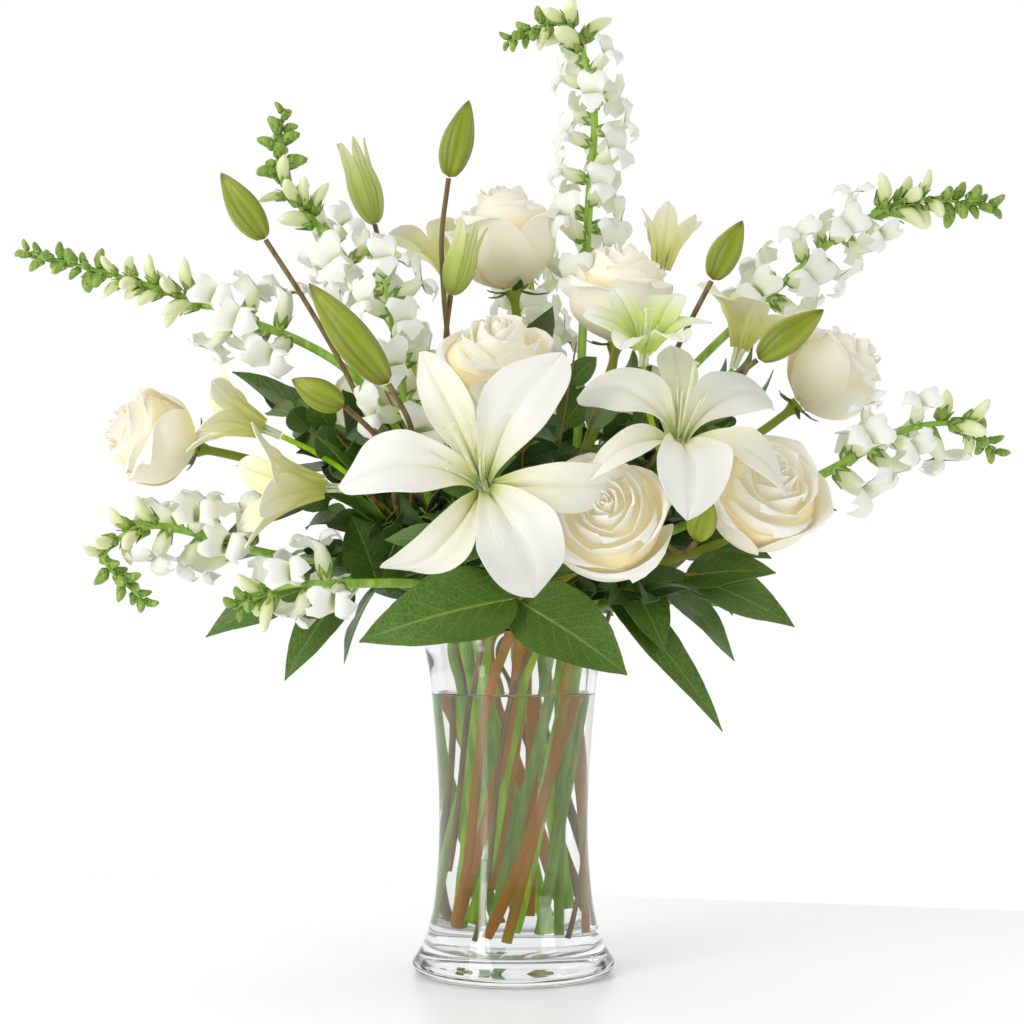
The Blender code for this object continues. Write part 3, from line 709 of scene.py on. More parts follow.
calyx_green = stem_finish("calyx_green", (0.15, 0.30, 0.03), (0.36, 0.50, 0.10), streak=60.0)
print("the rose stems change colour", round(vase_top / MM), "mm up, where they leave the vase")

# %% [markdown]
# ## The vase
# The vase is one piece of clear glass with a waist, a flared lip and a thick foot. A turned shape
# could be modelled by hand from a cylinder, but its outline is already in the plain vase: each ring
# there is one point of it. The Screw modifier turns that outline into a smooth wall of glass.


# %% The outline, turned
def outline_of(node):
    """Radius and height of each ring of a turned solid, from its outer foot round to its inside."""
    points, near, _ = corners(node)
    low = min(p.z for p in points)
    foot = [i for i, p in enumerate(points) if p.z < low + 0.05 * MM and p.xy.length > 1 * MM]
    chain = follow(foot, near, set(range(len(points))), size=len(foot))
    return [(ring[0].xy.length, middle(ring).z) for ring in spots(points, chain)]


def turned(name, outline, sides=96):
    """A closed turned solid. The outline is (radius, height), from the axis at the bottom back to it."""
    mesh = bpy.data.meshes.new(name)
    edges = [(i, i + 1) for i in range(len(outline) - 1)]
    mesh.from_pydata([(r, 0, z) for r, z in outline], edges, [])
    made = add_object(name, mesh)
    apply_modifier(
        made, "SCREW", steps=sides, render_steps=sides, use_merge_vertices=True, merge_threshold=TOUCHING
    )
    return crease(weld(made, TOUCHING), 50)


def smooth_outline(points, count):
    line = Line([(r, 0, z) for r, z in points])
    return [(p.x, p.z) for p in (line.at(i / (count - 1)) for i in range(count))]


vase_outline = outline_of("vase")
rim_height = max(z for _, z in vase_outline)
print("the vase's outline has", len(vase_outline), "points and is", round(rim_height / MM, 1), "mm high")

# %% [markdown]
# Glass needs no colour of its own, only a trace of green. A glass wall is not quite even, so a
# slow, faint ripple bends what is seen through it, and a few fine rubs are scattered over it.


# %% Glass and water finishes
RUBBED = (0.04, 0.04, 0.04)  # the roughness of a rub, as a grey
WATER_MIRRORING = 0.15  # inside the wall, water mirrors far less than it would in air


def clear_finish(name, tint, index, ripple, scale, distance, mirroring=1.0):
    made, tree, shader, where, _, _ = new_finish(
        name, 0.0, Transmission_Weight=1.0, IOR=index, Specular_Tint=(mirroring, mirroring, mirroring, 1.0)
    )
    cloud = noise_of(tree, where, scale, 2.0)
    feed(tree, shader, mix_of(tree, cloud, WHITE, tint), "Base Color")
    feed(tree, shader, bump_of(tree, cloud, ripple, distance), "Normal")
    rub = ramp_of(tree, noise_of(tree, where, 240.0, 5.0), ((0.70, BLACK), (0.84, RUBBED)))
    feed(tree, shader, rub, "Roughness")
    return made


vase_glass = clear_finish("vase_glass", (0.965, 0.985, 0.975), 1.48, 0.10, 22.0, 1.5 * MM)
vase_water = clear_finish(
    "vase_water", (0.975, 0.990, 0.985), 1.333, 0.04, 30.0, 1.0 * MM, WATER_MIRRORING
)
print("clear finishes:", vase_glass.name, "and", vase_water.name)


# %% The vase
UNDER_FOOT = ((0.0, 1.6), (0.80, 1.6), (0.86, 0.5), (0.93, 0.0))  # share of the foot's radius, mm up
INSIDE_CORNER = ((0.0, 2.4), (-3.0, 0.5))  # mm out and up from the corner at the bottom inside
FOOT_RINGS = 4  # rings of the outline that make the foot, up to where the wall begins


def split_outline(outline):
    """The outer wall with its rounded lip, and the inner wall down to the inside of the foot."""
    top = max(range(len(outline)), key=lambda i: outline[i][1])
    return outline[: top + 1], outline[top:]


outer_wall, inner_wall = split_outline(vase_outline)
foot_ring, wall_up = outer_wall[:FOOT_RINGS], outer_wall[FOOT_RINGS - 1 :]
foot_radius, foot_low = foot_ring[0]
inside_radius, inside_low = inner_wall[-1]
glass_outline = [(foot_radius * share, foot_low + up * MM) for share, up in UNDER_FOOT]
glass_outline += smooth_outline(foot_ring, 10) + smooth_outline(wall_up, 64)[1:]
glass_outline += smooth_outline(inner_wall[:-1], 56)[1:]
round_in = [(inside_radius + out * MM, inside_low + up * MM) for out, up in INSIDE_CORNER]
glass_outline += round_in + [(inside_radius * 0.6, inside_low), (0, inside_low - 0.4 * MM)]
settle(turned("vase_glass_body", glass_outline), vase_glass, "vase_glass", "vase")
print("glass outline of", len(glass_outline), "points")

# %% [markdown]
# The water touches the glass, so its surface is sunk a hair's breadth into the wall: with an air
# gap between them the wall would look silvered. At the wall the water climbs a little, which is
# the bright line that is seen round the top of it.

# %% The water
WATER_INTO_GLASS = 0.25 * MM
CLIMB = ((0.0, 1.6), (-0.5, 1.2), (-1.4, 0.55), (-3.0, 0.15), (-6.0, 0.0))  # mm out and up at the wall
water_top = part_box("water")[1].z
below = [p for p in smooth_outline(inner_wall[:-1], 40)[::-1] if p[1] < water_top - 1.5 * MM]
water_outline = [(0, inside_low - 0.7 * MM), (inside_radius * 0.6, inside_low - 0.3 * MM)]
water_outline += [(r + WATER_INTO_GLASS, z) for r, z in round_in[::-1] + below]
edge = below[-1][0] + WATER_INTO_GLASS
water_outline += [(edge + out * MM, water_top + up * MM) for out, up in CLIMB] + [(0, water_top)]
settle(turned("vase_water_body", water_outline), vase_water, "vase_water", "water")
print("water stands", round((water_top - inside_low) / MM), "mm deep")

# %% [markdown]
# ## Leaves
# A leaf is a thin sheet that is folded along its midrib, waved along its edges, and drawn out to a
# tip. The plain leaf gives the line of its midrib, its width, and which way it faces. The outline
# is a formula: broad with a finely toothed edge for lemon leaf and rose, and narrow for lily.


# %% The line of a leaf or a petal
class Blade:
    """The middle line of a leaf or petal, its half-width, and the way its face turns along it."""

    def __init__(self, limb):
        ribs = [rib(ring) for ring in limb]
        self.line = Line([centre for centre, _, _ in ribs])
        self.half_width = max(half.length for _, half, _ in ribs)
        self.sides = []
        for _, half, _ in ribs:
            side = half.normalized()
            if self.sides and side.dot(self.sides[-1]) < 0:
                side = -side
            self.sides.append(side)
        if len(limb) > 3:
            self.sides[0] = self.sides[1].copy()
        middle_rib = len(ribs) // 2
        tangent = self.line.along(0.5)
        if self.sides[middle_rib].cross(tangent).dot(ribs[middle_rib][2]) < 0:
            self.sides = [-side for side in self.sides]

    @property
    def length(self):
        return self.line.length

    def at(self, share):
        """Place, sideways and upwards at a share of the length."""
        i, t = self.line.place(share)
        tangent = self.line.along(share)
        side = self.sides[i].lerp(self.sides[i + 1], t)
        side = (side - tangent * side.dot(tangent)).normalized()
        return self.line.at(share), side, side.cross(tangent)


def free_blade(start, tip, facing, half_width, sag=0.12):
    """A blade that no plain leaf gives: from start to tip, arching over and facing a given way."""
    start, tip = Vector(start), Vector(tip)
    reach = tip - start
    made = Blade.__new__(Blade)
    side = reach.cross(Vector(facing)).normalized()
    up = side.cross(reach).normalized()
    shares = (0.0, 0.25, 0.5, 0.75, 1.0)
    made.line = Line([start + reach * s + up * (reach.length * sag * 4 * s * (1 - s)) for s in shares])
    made.half_width = half_width
    made.sides = [side.copy() for _ in shares]
    if made.sides[0].cross(reach).dot(up) < 0:
        made.sides = [-s for s in made.sides]
    return made


# %% Outlines and leaf sheets
LEAF_THICKNESS = 0.45 * MM


def broad_outline(s):
    """Half-width of a lemon leaf: rounded at its stalk, broadest below the middle, long in the tip."""
    swell = min(s / 0.36, 1.0)
    taper = max((s - 0.36) / 0.64, 0.0)
    return max((1 - (1 - swell) ** 2.2) ** 0.62 * (1 - taper**1.75) ** 1.05, 0.015)


def narrow_outline(s):
    """Half-width of a lily's leaf: clasping at its root, and narrow for most of its length."""
    return max((0.45 + 0.55 * smooth_step(0.0, 0.4, s)) * (1 - max((s - 0.35) / 0.65, 0) ** 2.0), 0.02)


def leaf_point(blade, outline, seed, fold=0.22, wave=0.07, teeth=0):
    """The formula of a leaf's sheet: folded up along its midrib, waved and quilted by its veins."""
    phase = seed * 2.4

    def point(u, v):
        centre, side, up = blade.at(v)
        wide = blade.half_width * outline(v)
        if teeth and abs(u) > 0.9:
            wide *= 1 - 0.035 * ((v * teeth) % 1.0)
        ripple = math.sin(9.0 * v + phase + (1.3 if u > 0 else 0)) * wave * abs(u) ** 2
        quilt = -0.020 * abs(math.sin(math.pi * 8.0 * (v - 0.26 * abs(u) ** 0.85))) * (1 - v)
        rise = wide * (fold * (abs(u) ** 1.25) - 0.10 * fold + ripple) + blade.half_width * quilt
        return centre + side * (u * wide * (1 - 0.10 * fold)) + up * rise

    return point


def leaves(name, blades, outline, rows=22, across=10, seed=0, **shape):
    points = [leaf_point(b, outline, seed + i, **shape) for i, b in enumerate(blades)]
    return crease(thicken(stack(name, rows, across, points), LEAF_THICKNESS))


def stalk(blade, radius=0.75 * MM):
    """The stalk that carries a leaf, which runs on as its midrib, just under the leaf."""
    places = []
    for s in (0.0, 0.2, 0.4, 0.6, 0.8, 0.96):
        centre, _, up = blade.at(s)
        places.append(centre - up * (0.25 * MM + 0.02 * blade.half_width))
    return (Line(places), lambda s: radius * (1 - 0.85 * s), 20)


broadest = max(range(101), key=lambda percent: broad_outline(percent / 100))
print("a lemon leaf is broadest at", broadest, "percent of its length")


# %% [markdown]
# ## Lemon leaf
# Lemon leaf is a florist's foliage: broad, leathery leaves on a zigzag woody twig. The twig is a
# curve with a round bevel, because a curve keeps its roundness however it bends, and a midrib
# stands proud of the underside of every leaf.

# %% Lemon leaf twigs and leaves
for k in range(1, 7):
    node = f"lemon_leaf_{k}"
    path, radii, limbs = read_stem(node)
    blades = [Blade(limb) for limb in limbs if len(limb) > 3]
    runs = [stem_run(path, radii, 60, fullness=1.05)]
    settle(tubes(f"lemon_leaf_twig_{k}", runs), leaf_wood, "lemon_leaf_green", node)
    made = leaves("blades", blades, broad_outline, seed=3 * k, rows=30, across=14, teeth=26)
    made.data.materials.append(lemon_leaf)
    ribs = tubes("midribs", [stalk(b) for b in blades])
    ribs.data.materials.append(midrib_green)
    settle(join(f"lemon_leaf_blades_{k}", [made, ribs]), None, "lemon_leaf_green", node)
print("lemon leaf twigs and leaves made")

# %% [markdown]
# ## Lilies
# A lily's stem carries long narrow leaves and ends in several flower stalks. Each flower has six
# tepals, three broad and three narrow, with six filaments and one long pistil between them.


# %% Lily stems and leaves
for k in range(1, 7):
    node = f"lily_stem_{k}"
    path, radii, limbs = read_stem(node)
    stalks = [limb for limb in limbs if not is_blade(limb)]
    blades = [Blade(limb) for limb in limbs if is_blade(limb)]
    runs = [stem_run(path, radii, 70, knots=0.05)]
    settle(tubes(f"lily_stalk_main_{k}", runs, sides=4), lily_stem_green, "stem_green", node)
    runs = []
    for limb in stalks:
        thick = [ring_radius(ring) for ring in limb]
        thick[0] = thick[1]  # the root ring lies in the side of the stem and is another size
        runs.append(stem_run([middle(ring) for ring in limb], thick, 24, fullness=0.95))
    if runs:
        settle(tubes(f"lily_flower_stalks_{k}", runs, sides=3), stalk_purple, "stem_green", node)
    if blades:
        made = leaves(
            f"lily_leaves_{k}", blades, narrow_outline, seed=5 * k, rows=26, across=8, fold=0.30, wave=0.10
        )
        settle(made, lily_leaf, "stem_green", node)
print("lily stems made")

# %% [markdown]
# ### Tepals
# A tepal starts narrow and deeply channelled, opens out flat, and rolls back at its tip. Its
# surface has a sunk midrib and its margins are gently ruffled. All of this is a height above the
# middle line that changes along and across the tepal, so a grid is laid out by that formula.


# %% The shape of a tepal
def tepal_outline(s):
    """Half-width of a tepal: narrow at its root, broadest past the middle, with a blunt tip."""
    swell = 0.20 + 0.80 * smooth_step(0.0, 0.56, s)
    return max(swell * (1 - max((s - 0.50) / 0.50, 0) ** 2.7) ** 0.72, 0.03)


# For each tepal of the two front lilies: its direction in degrees, seen from the front, and then its
# sway, twist, roll back, droop and width.
TEPAL_POSES = {
    1: (
        (180, 0.30, -0.50, 0.10, 0.04, 1.18),
        (114, 0.10, 0.75, 0.02, 0.00, 0.96),
        (50, -0.30, 0.35, -0.04, 0.00, 1.22),
        (0, 0.30, -0.60, 0.20, 0.02, 1.02),
        (-82, -0.10, 0.25, 0.30, -0.08, 1.38),
        (-141, -0.40, 0.85, 0.26, -0.10, 1.00),
    ),
    2: (
        (150, 0.35, 0.40, 0.14, 0.12, 1.16),
        (90, 0.00, 0.20, 0.05, 0.00, 0.90),
        (20, -0.30, -0.40, 0.12, 0.10, 1.14),
        (-20, 0.25, 0.50, 0.18, 0.06, 1.15),
        (-90, 0.05, 0.20, 0.24, -0.03, 1.36),
        (-150, -0.20, -0.50, 0.16, 0.02, 0.95),
    ),
}


def pose_number(lily, blade):
    """Which of the chosen poses of a front lily is nearest to the way that a tepal points."""
    start, end = blade.line.at(0.1), blade.line.at(0.9)
    heading = math.degrees(math.atan2(end.z - start.z, end.x - start.x))
    turns = [abs((pose[0] - heading + 180) % 360 - 180) for pose in TEPAL_POSES[lily]]
    return turns.index(min(turns))


def tepal_pose(lily, blade, dice):
    """Sway, twist, roll back, droop and width of a tepal: chosen for the front lilies, else by chance."""
    if lily in TEPAL_POSES:
        return TEPAL_POSES[lily][pose_number(lily, blade)][1:]
    chance = ((-0.25, 0.25), (-0.5, 0.5), (0.04, 0.14), (0.0, 0.07), (0.95, 1.1))
    return [dice.uniform(*limits) for limits in chance]


def tepal_point(blade, lily, number, ruffle=0.17, roll=0.20):
    dice = random.Random(10 * lily + number)
    phase, other = dice.uniform(0, 6.3), dice.uniform(0, 6.3)
    sway, twist, back, droop, full = tepal_pose(lily, blade, dice)

    def point(u, v):
        centre, side, up = blade.at(v)
        turn = Quaternion(side.cross(up), twist * v * v)
        side, up = turn @ side, turn @ up
        wide = blade.half_width * full * tepal_outline(v) * (1 + 0.06 * u * math.sin(7.5 * v + phase))
        channel = 0.70 * (1 - smooth_step(0.0, 0.5, v)) + 0.20 - roll * smooth_step(0.5, 1.0, v)
        groove = -0.15 * math.exp(-((u / 0.11) ** 2)) * (1 - 0.6 * v)
        ridge = 0.080 * math.exp(-(((abs(u) - 0.34) / 0.15) ** 2)) * (1 - 0.7 * v)
        wave = math.sin(7.0 * v + (phase if u > 0 else other)) * ruffle * abs(u) ** 2.0
        fine = math.sin(19.0 * v + other) * ruffle * 0.22 * abs(u) ** 5
        fade = smooth_step(0.05, 0.4, v) * (1 - 0.4 * smooth_step(0.85, 1.0, v))
        rise = wide * (channel * u * u + (wave + fine) * fade) + blade.half_width * (groove + ridge)
        rise += blade.length * (0.10 * back * math.sin(math.pi * v) - back * v**3.2)
        shift = blade.half_width * sway * math.sin(math.pi * v)
        place = centre + side * (u * wide * (1 - 0.10 * channel) + shift) + up * rise
        place.z -= blade.length * droop * v**2.4
        return place

    return point


# %% [markdown]
# ### Filaments and pistil
# Florists pull the anthers off a lily because their pollen stains, so each filament is a bare,
# slender, curving rod. The pistil is thicker and ends in a three-lobed stigma, which is a small
# sphere drawn out into three lobes.


# %% The middle of a lily
def axis_turn(axis):
    """The turn that brings +Z to an axis."""
    return Vector((0, 0, 1)).rotation_difference(axis.normalized())


def blob(name, place, axis, shape, sides=12, rings=8):
    """A closed round form. shape(angle, share) gives its radius and height from its root to its end."""
    bpy.ops.mesh.primitive_uv_sphere_add(segments=sides, ring_count=rings, radius=1, calc_uvs=True)
    made = bpy.context.object
    made.name = name
    turn = axis_turn(axis)
    for vert in made.data.vertices:
        angle = math.atan2(vert.co.y, vert.co.x)
        share = math.acos(max(-1, min(1, -vert.co.z))) / math.pi
        pole = math.hypot(vert.co.x, vert.co.y) < 1e-4
        radius, height = shape(0.0 if pole else angle, share)
        if pole:
            radius = 0.0
        vert.co = place + turn @ polar(radius, angle, height)
    bpy.ops.object.shade_smooth()
    return made


def stigma_shape(angle, share):
    wide = math.sin(math.pi * share) * (1 + 0.35 * math.cos(3 * angle))
    return 1.9 * MM * wide, (share - 0.5) * 2.6 * MM


def filament_runs(seat, axis, reach, opening, seed, count=6):
    dice = random.Random(seed)
    turn = axis_turn(axis)
    runs = []
    for i in range(count):
        angle = 2 * math.pi * (i + dice.uniform(-0.2, 0.2)) / count
        out = turn @ polar(1.0, angle)
        length = reach * dice.uniform(0.92, 1.08)
        points = []
        for s in (0.0, 0.3, 0.65, 1.0):
            outward = out * (length * opening * s**1.5 + 1.5 * MM)
            points.append(seat + axis * (length * s * (1 - 0.12 * s)) + outward)
        runs.append((Line(points), lambda s: 0.95 * MM * (1 - 0.50 * s), 18))
    return runs


# %% Lily blooms
BACK_LILIES = (4, 5, 6, 7, 8)  # these show the cream backs of their tepals
LILY_FINISH = {k: (lily_cream, lily_cream) for k in BACK_LILIES}
LILY_FINISH[3] = (lily_green, lily_green)
FILAMENT_LEAN = {1: Vector((-0.25, 0, 0.30)), 2: Vector((0.15, 0, 0.75))}
LILY_OPENING = {1: 0.24, 2: 0.20, 3: 0.16, 4: 0.10, 5: 0.10, 6: 0.20, 7: 0.22, 8: 0.10, 9: 0.35}
FILAMENT_REACH = 0.72  # of the tepals' length
PISTIL_REACH = 1.12  # of the filaments' reach
TAN_STIGMAS = (7, 9)
filament_green = stem_finish("filament_green", (0.74, 0.80, 0.46), (0.88, 0.90, 0.70), 40.0, 0.5)
stigma_tan = stem_finish("stigma_tan", (0.50, 0.28, 0.07), (0.66, 0.44, 0.14), 300.0, 0.7)

for k in range(1, 10):
    node = f"lily_bloom_{k}"
    points, _, limbs, rest = read_limbs(node)
    in_limbs = set().union(*(ring for limb in limbs for ring in limb))
    seat = middle([points[i] for i in rest - in_limbs])
    blades = [Blade(spots(points, limb)) for limb in limbs]
    axis = (middle([b.line.points[0] for b in blades]) - seat).normalized()
    order = [pose_number(k, b) if k in TEPAL_POSES else i for i, b in enumerate(blades)]
    whorls = []
    for side, finish in enumerate(LILY_FINISH.get(k, (lily_white, lily_warm))):
        tepals = [tepal_point(b, k, i) for i, b in enumerate(blades) if order[i] % 2 == side]
        whorl = thicken(stack("whorl", 28, 12, tepals), 0.55 * MM)
        whorl.data.materials.append(finish)
        whorls.append(whorl)
    settle(crease(join(f"lily_tepals_{k}", whorls)), None, "lily_petal", node)
    axis = (axis + FILAMENT_LEAN.get(k, Vector())).normalized()
    reach = FILAMENT_REACH * sum(b.length for b in blades) / len(blades)
    runs = filament_runs(seat, axis, reach, LILY_OPENING[k], k)
    settle(tubes(f"lily_filaments_{k}", runs, sides=2), filament_green, "lily_petal", node)
    end = seat + axis * reach * PISTIL_REACH + Vector((0, 0, 2 * MM))
    pistil = Line([seat, seat + axis * reach * 0.6, end])
    rod = tubes("pistil", [(pistil, lambda s: MM * (0.95 + 0.25 * s), 16)], sides=3)
    rod.data.materials.append(filament_green)
    tip = blob("stigma", pistil.at(1.0), pistil.along(0.97), stigma_shape)
    tip.data.materials.append(stigma_tan if k in TAN_STIGMAS else filament_green)
    settle(join(f"lily_pistil_{k}", [rod, tip]), None, "lily_petal", node)
print("lily blooms made:", k)

# %% [markdown]
# ### Buds
# A lily's bud is six tepals folded into a long, blunt spindle. The three outer ones meet along three
# deep grooves, and each has a raised rib down its middle. A sphere is drawn out into a spindle,
# and its radius is pressed in at the grooves. Two buds have just begun to open at their tips, so
# they are made of six separate tepals instead.


# %% The shape of a bud
def bud_line(node):
    """Root, tip and greatest radius of a bud."""
    points, _, _ = corners(node)
    pairs = [(a, b) for i, a in enumerate(points) for b in points[i + 1 :]]
    ends = max(pairs, key=lambda p: (p[0] - p[1]).length)
    rings = [sorted(points, key=lambda p: (p - end).length)[:6] for end in ends]
    middles = [middle(ring) for ring in rings]
    widths = [(ring[0] - m).length for ring, m in zip(rings, middles)]
    if widths[0] < widths[1]:
        middles.reverse()
    axis = (middles[1] - middles[0]).normalized()
    radius = max((p - middles[0] - axis * (p - middles[0]).dot(axis)).length for p in points)
    return middles[0], middles[1], radius


def bud_profile(share):
    """Radius of a bud along its length: a narrow neck, a slow swell and a blunt tip."""
    return 0.20 * (1 - share) ** 3 + math.sin(math.pi * share**0.86) ** 0.78 * (1 - 0.10 * share)


def bud_shape(length, radius, twist):
    def shape(angle, share):
        valley = abs(math.sin(1.5 * (angle + twist * share)))
        groove = 0.20 * math.exp(-((valley / 0.15) ** 2))
        ridge = 0.08 * math.exp(-(((1 - valley) / 0.03) ** 2))
        flute = 0.02 * math.cos(12 * (angle + twist * share))
        return radius * bud_profile(share) * (1 - groove + ridge + flute), length * share

    return shape


def opening_point(base, axis, length, radius, angle, inner, seed):
    """A tepal of an opening bud: it follows the bud, and its tip has come away and bent out."""
    turn = axis_turn(axis)
    lean = random.Random(seed).uniform(0.7, 1.3)

    def point(u, v):
        spread = 0.66 * (1 - 0.88 * max((v - 0.50) / 0.50, 0) ** 2.6)
        around = angle + u * spread
        out = radius * bud_profile(min(v, 0.62)) * (0.90 if inner else 1.0)
        loose = max(v - 0.58, 0) / 0.42
        out *= 1 - 0.22 * loose + 0.42 * lean * loose**1.6 * (0.5 if inner else 1.0)
        out -= radius * 0.08 * math.exp(-((u / 0.16) ** 2)) * (-1 if not inner else 1)
        rise = length * v * (1.0 if inner else 0.97)
        return base + turn @ polar(out, around, rise)

    return point


# %% Lily buds
def bud_finish():
    made, tree, shader, where, across, along = new_finish(
        "lily_bud_skin", 0.36, Subsurface_Weight=0.10, Subsurface_Scale=2.0 * MM
    )
    turns = math_of(tree, "FRACT", times(tree, across, 3.0))
    seam = math_of(tree, "ABSOLUTE", math_of(tree, "SUBTRACT", turns, 0.5))
    stops = (
        (0.0, (0.24, 0.18, 0.01)), (0.14, (0.23, 0.29, 0.006)),
        (0.84, (0.31, 0.36, 0.010)), (0.97, (0.14, 0.07, 0.01)),
    )
    streak = noise_of(tree, where, 70.0, 4.0, (4, 4, 1))
    # The pale colour along the raised ribs of the outer tepals is a painted highlight, and the dark colour
    # along the grooves where they meet is painted shade.
    groove = ramp_of(tree, seam, ((0.30, BLACK), (0.50, WHITE)))
    dark = ramp_of(tree, seam, ((0.0, WHITE), (0.13, BLACK)))
    colour = ramp_of(tree, along, stops)
    colour = mix_of(tree, times(tree, streak, 0.55), colour, (0.15, 0.22, 0.006))
    colour = mix_of(tree, times(tree, groove, 0.55), colour, (0.46, 0.54, 0.06))
    colour = mix_of(tree, times(tree, dark, 0.60), colour, (0.12, 0.16, 0.01))
    feed(tree, shader, colour, "Base Color")
    feed(tree, shader, bump_of(tree, noise_of(tree, where, 500.0), 0.3, 0.4 * MM), "Normal")
    feed(tree, shader, scaled(tree, streak, 0.20, 0.30), "Roughness")
    return made


lily_bud_skin = bud_finish()
OPENING_BUDS = (4, 6)
lily_opening = petal_finish(
    "lily_opening_bud",
    ((0.0, (0.32, 0.42, 0.06)), (0.45, (0.46, 0.56, 0.12)),
     (0.80, (0.66, 0.70, 0.34)), (1.0, (0.74, 0.72, 0.44))),
    rib=((0.28, 0.40, 0.05), 0.7), vein=((0.52, 0.60, 0.20), 0.25), count=9.0,
)
for k in range(1, 10):
    node = f"lily_bud_{k}"
    base, tip, radius = bud_line(node)
    axis = (tip - base).normalized()
    length = (tip - base).length
    if k in OPENING_BUDS:
        tepals = []
        for i in range(6):
            angle, inner = math.radians(60 * i), i % 2 == 1
            tepals.append(opening_point(base, axis, length, radius, angle, inner, 7 * k + i))
        made = crease(thicken(stack(f"lily_bud_opening_{k}", 22, 8, tepals), 0.6 * MM))
        settle(made, lily_opening, "lily_bud_skin", node)
    else:
        made = blob(f"lily_bud_closed_{k}", base, axis, bud_shape(length, radius, 0.35), sides=48, rings=28)
        settle(made, lily_bud_skin, "lily_bud_skin", node)
print("lily buds made:", k)

# %% [markdown]
# ## Roses
# A rose is some thirty petals on a spiral, each about 137 degrees round from the one before. The
# first ones are furled tightly round the heart, the middle ones stand up as a cup, and the outer
# ones lean out and roll back, which is what gives the flower its pointed outline. Here the tightest
# petals are one dome. One rose is made at unit size for each degree of opening, and is then copied
# to its place, where it is turned about its axis.

# %% The shape of a rose petal
GOLDEN_ANGLE = math.radians(137.5)
ROSE_PETALS = 22


def rose_petal_point(number, openness, dice):
    """One petal of a rose whose width is 1 and whose axis is +Z, number 0 at its heart."""
    t = number / (ROSE_PETALS - 1)
    turn = number * GOLDEN_ANGLE + dice.uniform(-0.28, 0.28)
    half_angle = between(2.4, 1.35, t**0.5)
    lip = between(0.05, 0.97, t ** between(1.45, 1.50, openness)) * dice.uniform(0.97, 1.02)
    belly = between(0.06, 0.86, t ** between(1.0, 1.25, openness))
    heart_top, outer_top = between(1.34, 1.02, openness), between(0.84, 0.72, openness)
    top = between(heart_top, outer_top, t**2.4) * dice.uniform(0.98, 1.02)
    roll = smooth_step(0.45, 1.0, t) * between(0.80, 1.0, openness)
    outline = (
        (0.05 + 0.10 * t, 0.02),
        (belly * 0.66, 0.18 * top),
        (belly, between(0.62, 0.46, t) * top),
        (between(belly, lip, 0.5), 0.82 * top),
        (lip * between(1.0, 0.985, roll), 0.97 * top),
        (lip + 0.035 * roll, between(1.0, 0.985, roll) * top),
        (lip + 0.075 * roll, between(1.0, 0.93, roll) * top),
    )
    profile = Line([(r, 0, z) for r, z in outline])
    phase, waves = dice.uniform(0, 6.3), dice.uniform(2.2, 3.6)
    tilt = dice.uniform(-0.07, 0.07) * smooth_step(0.1, 0.5, t)

    def point(u, v):
        v = math.sin(math.pi / 2 * v) ** 1.15
        spot = profile.at(v)
        wide = min(v / 0.45, 1.0) ** 0.5 * max(1 - max((v - 0.45) / 0.55, 0) ** 2.5, 0.001) ** 0.48
        around = turn + u * half_angle * wide
        edge = abs(u) ** 3 * smooth_step(0.35, 0.9, v)
        out = spot.x + 0.040 * u * (0.25 + t) + edge * 0.02 * roll
        out += 0.014 * math.sin(waves * u + phase) * smooth_step(0.55, 1.0, v) * (0.25 + t)
        point_out = roll * math.exp(-((u / 0.30) ** 2)) * smooth_step(0.80, 1.0, v)
        out += 0.030 * point_out
        return polar(out, around, spot.z - edge * 0.05 * roll + 0.035 * point_out + tilt * u * v)

    return point


def rose_heart(openness):
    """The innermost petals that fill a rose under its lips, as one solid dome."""
    tall = between(1.10, 0.86, openness)
    waist = between(0.78, 0.66, openness)

    def shape(angle, share):
        reach = math.sin(math.pi * share)
        if share > 0.5:
            return 0.80 * reach, tall * between(1.0, waist, reach**1.6)
        return 0.80 * reach, tall * waist * (share * 2) ** 1.4 + 0.03

    return blob("rose_heart", Vector(), Vector((0, 0, 1)), shape, 32, 16)


def rose_head(name, openness, seed):
    dice = random.Random(seed)
    petal_points = [rose_petal_point(i, openness, dice) for i in range(ROSE_PETALS)]
    petals = thicken(stack("spiral", 16, 16, petal_points), 0.012)
    petals.data.materials.append(rose_cream)
    heart = rose_heart(openness)
    heart.data.materials.append(rose_deep)
    return crease(join(name, [petals, heart]))


def placing(place, turn, size):
    """The matrix that sizes, turns and moves a copy."""
    return Matrix.Translation(place) @ turn.to_matrix().to_4x4() @ Matrix.Diagonal((*size, 1.0))


def placed_copy(master, name, place, turn, size):
    """A copy with its own mesh, with its place kept in the mesh."""
    mesh = master.data.copy()
    mesh.name = name
    mesh.transform(placing(place, turn, size))
    return add_object(name, mesh)


print(ROSE_PETALS, "petals turn", round(ROSE_PETALS * GOLDEN_ANGLE / (2 * math.pi), 1), "times round a rose")


# %% Roses in their places
ROSE_OPENNESS = {1: 0.25, 2: 0.55, 3: 0.15, 4: 1.0, 5: 1.0, 6: 0.5, 7: 0.7, 8: 0.5, 9: 0.7}
ROSE_SPIN = 67  # degrees from one rose to the next, so that each shows another side
masters = {o: rose_head(f"rose_master_{o}", o, int(o * 100)) for o in sorted(set(ROSE_OPENNESS.values()))}


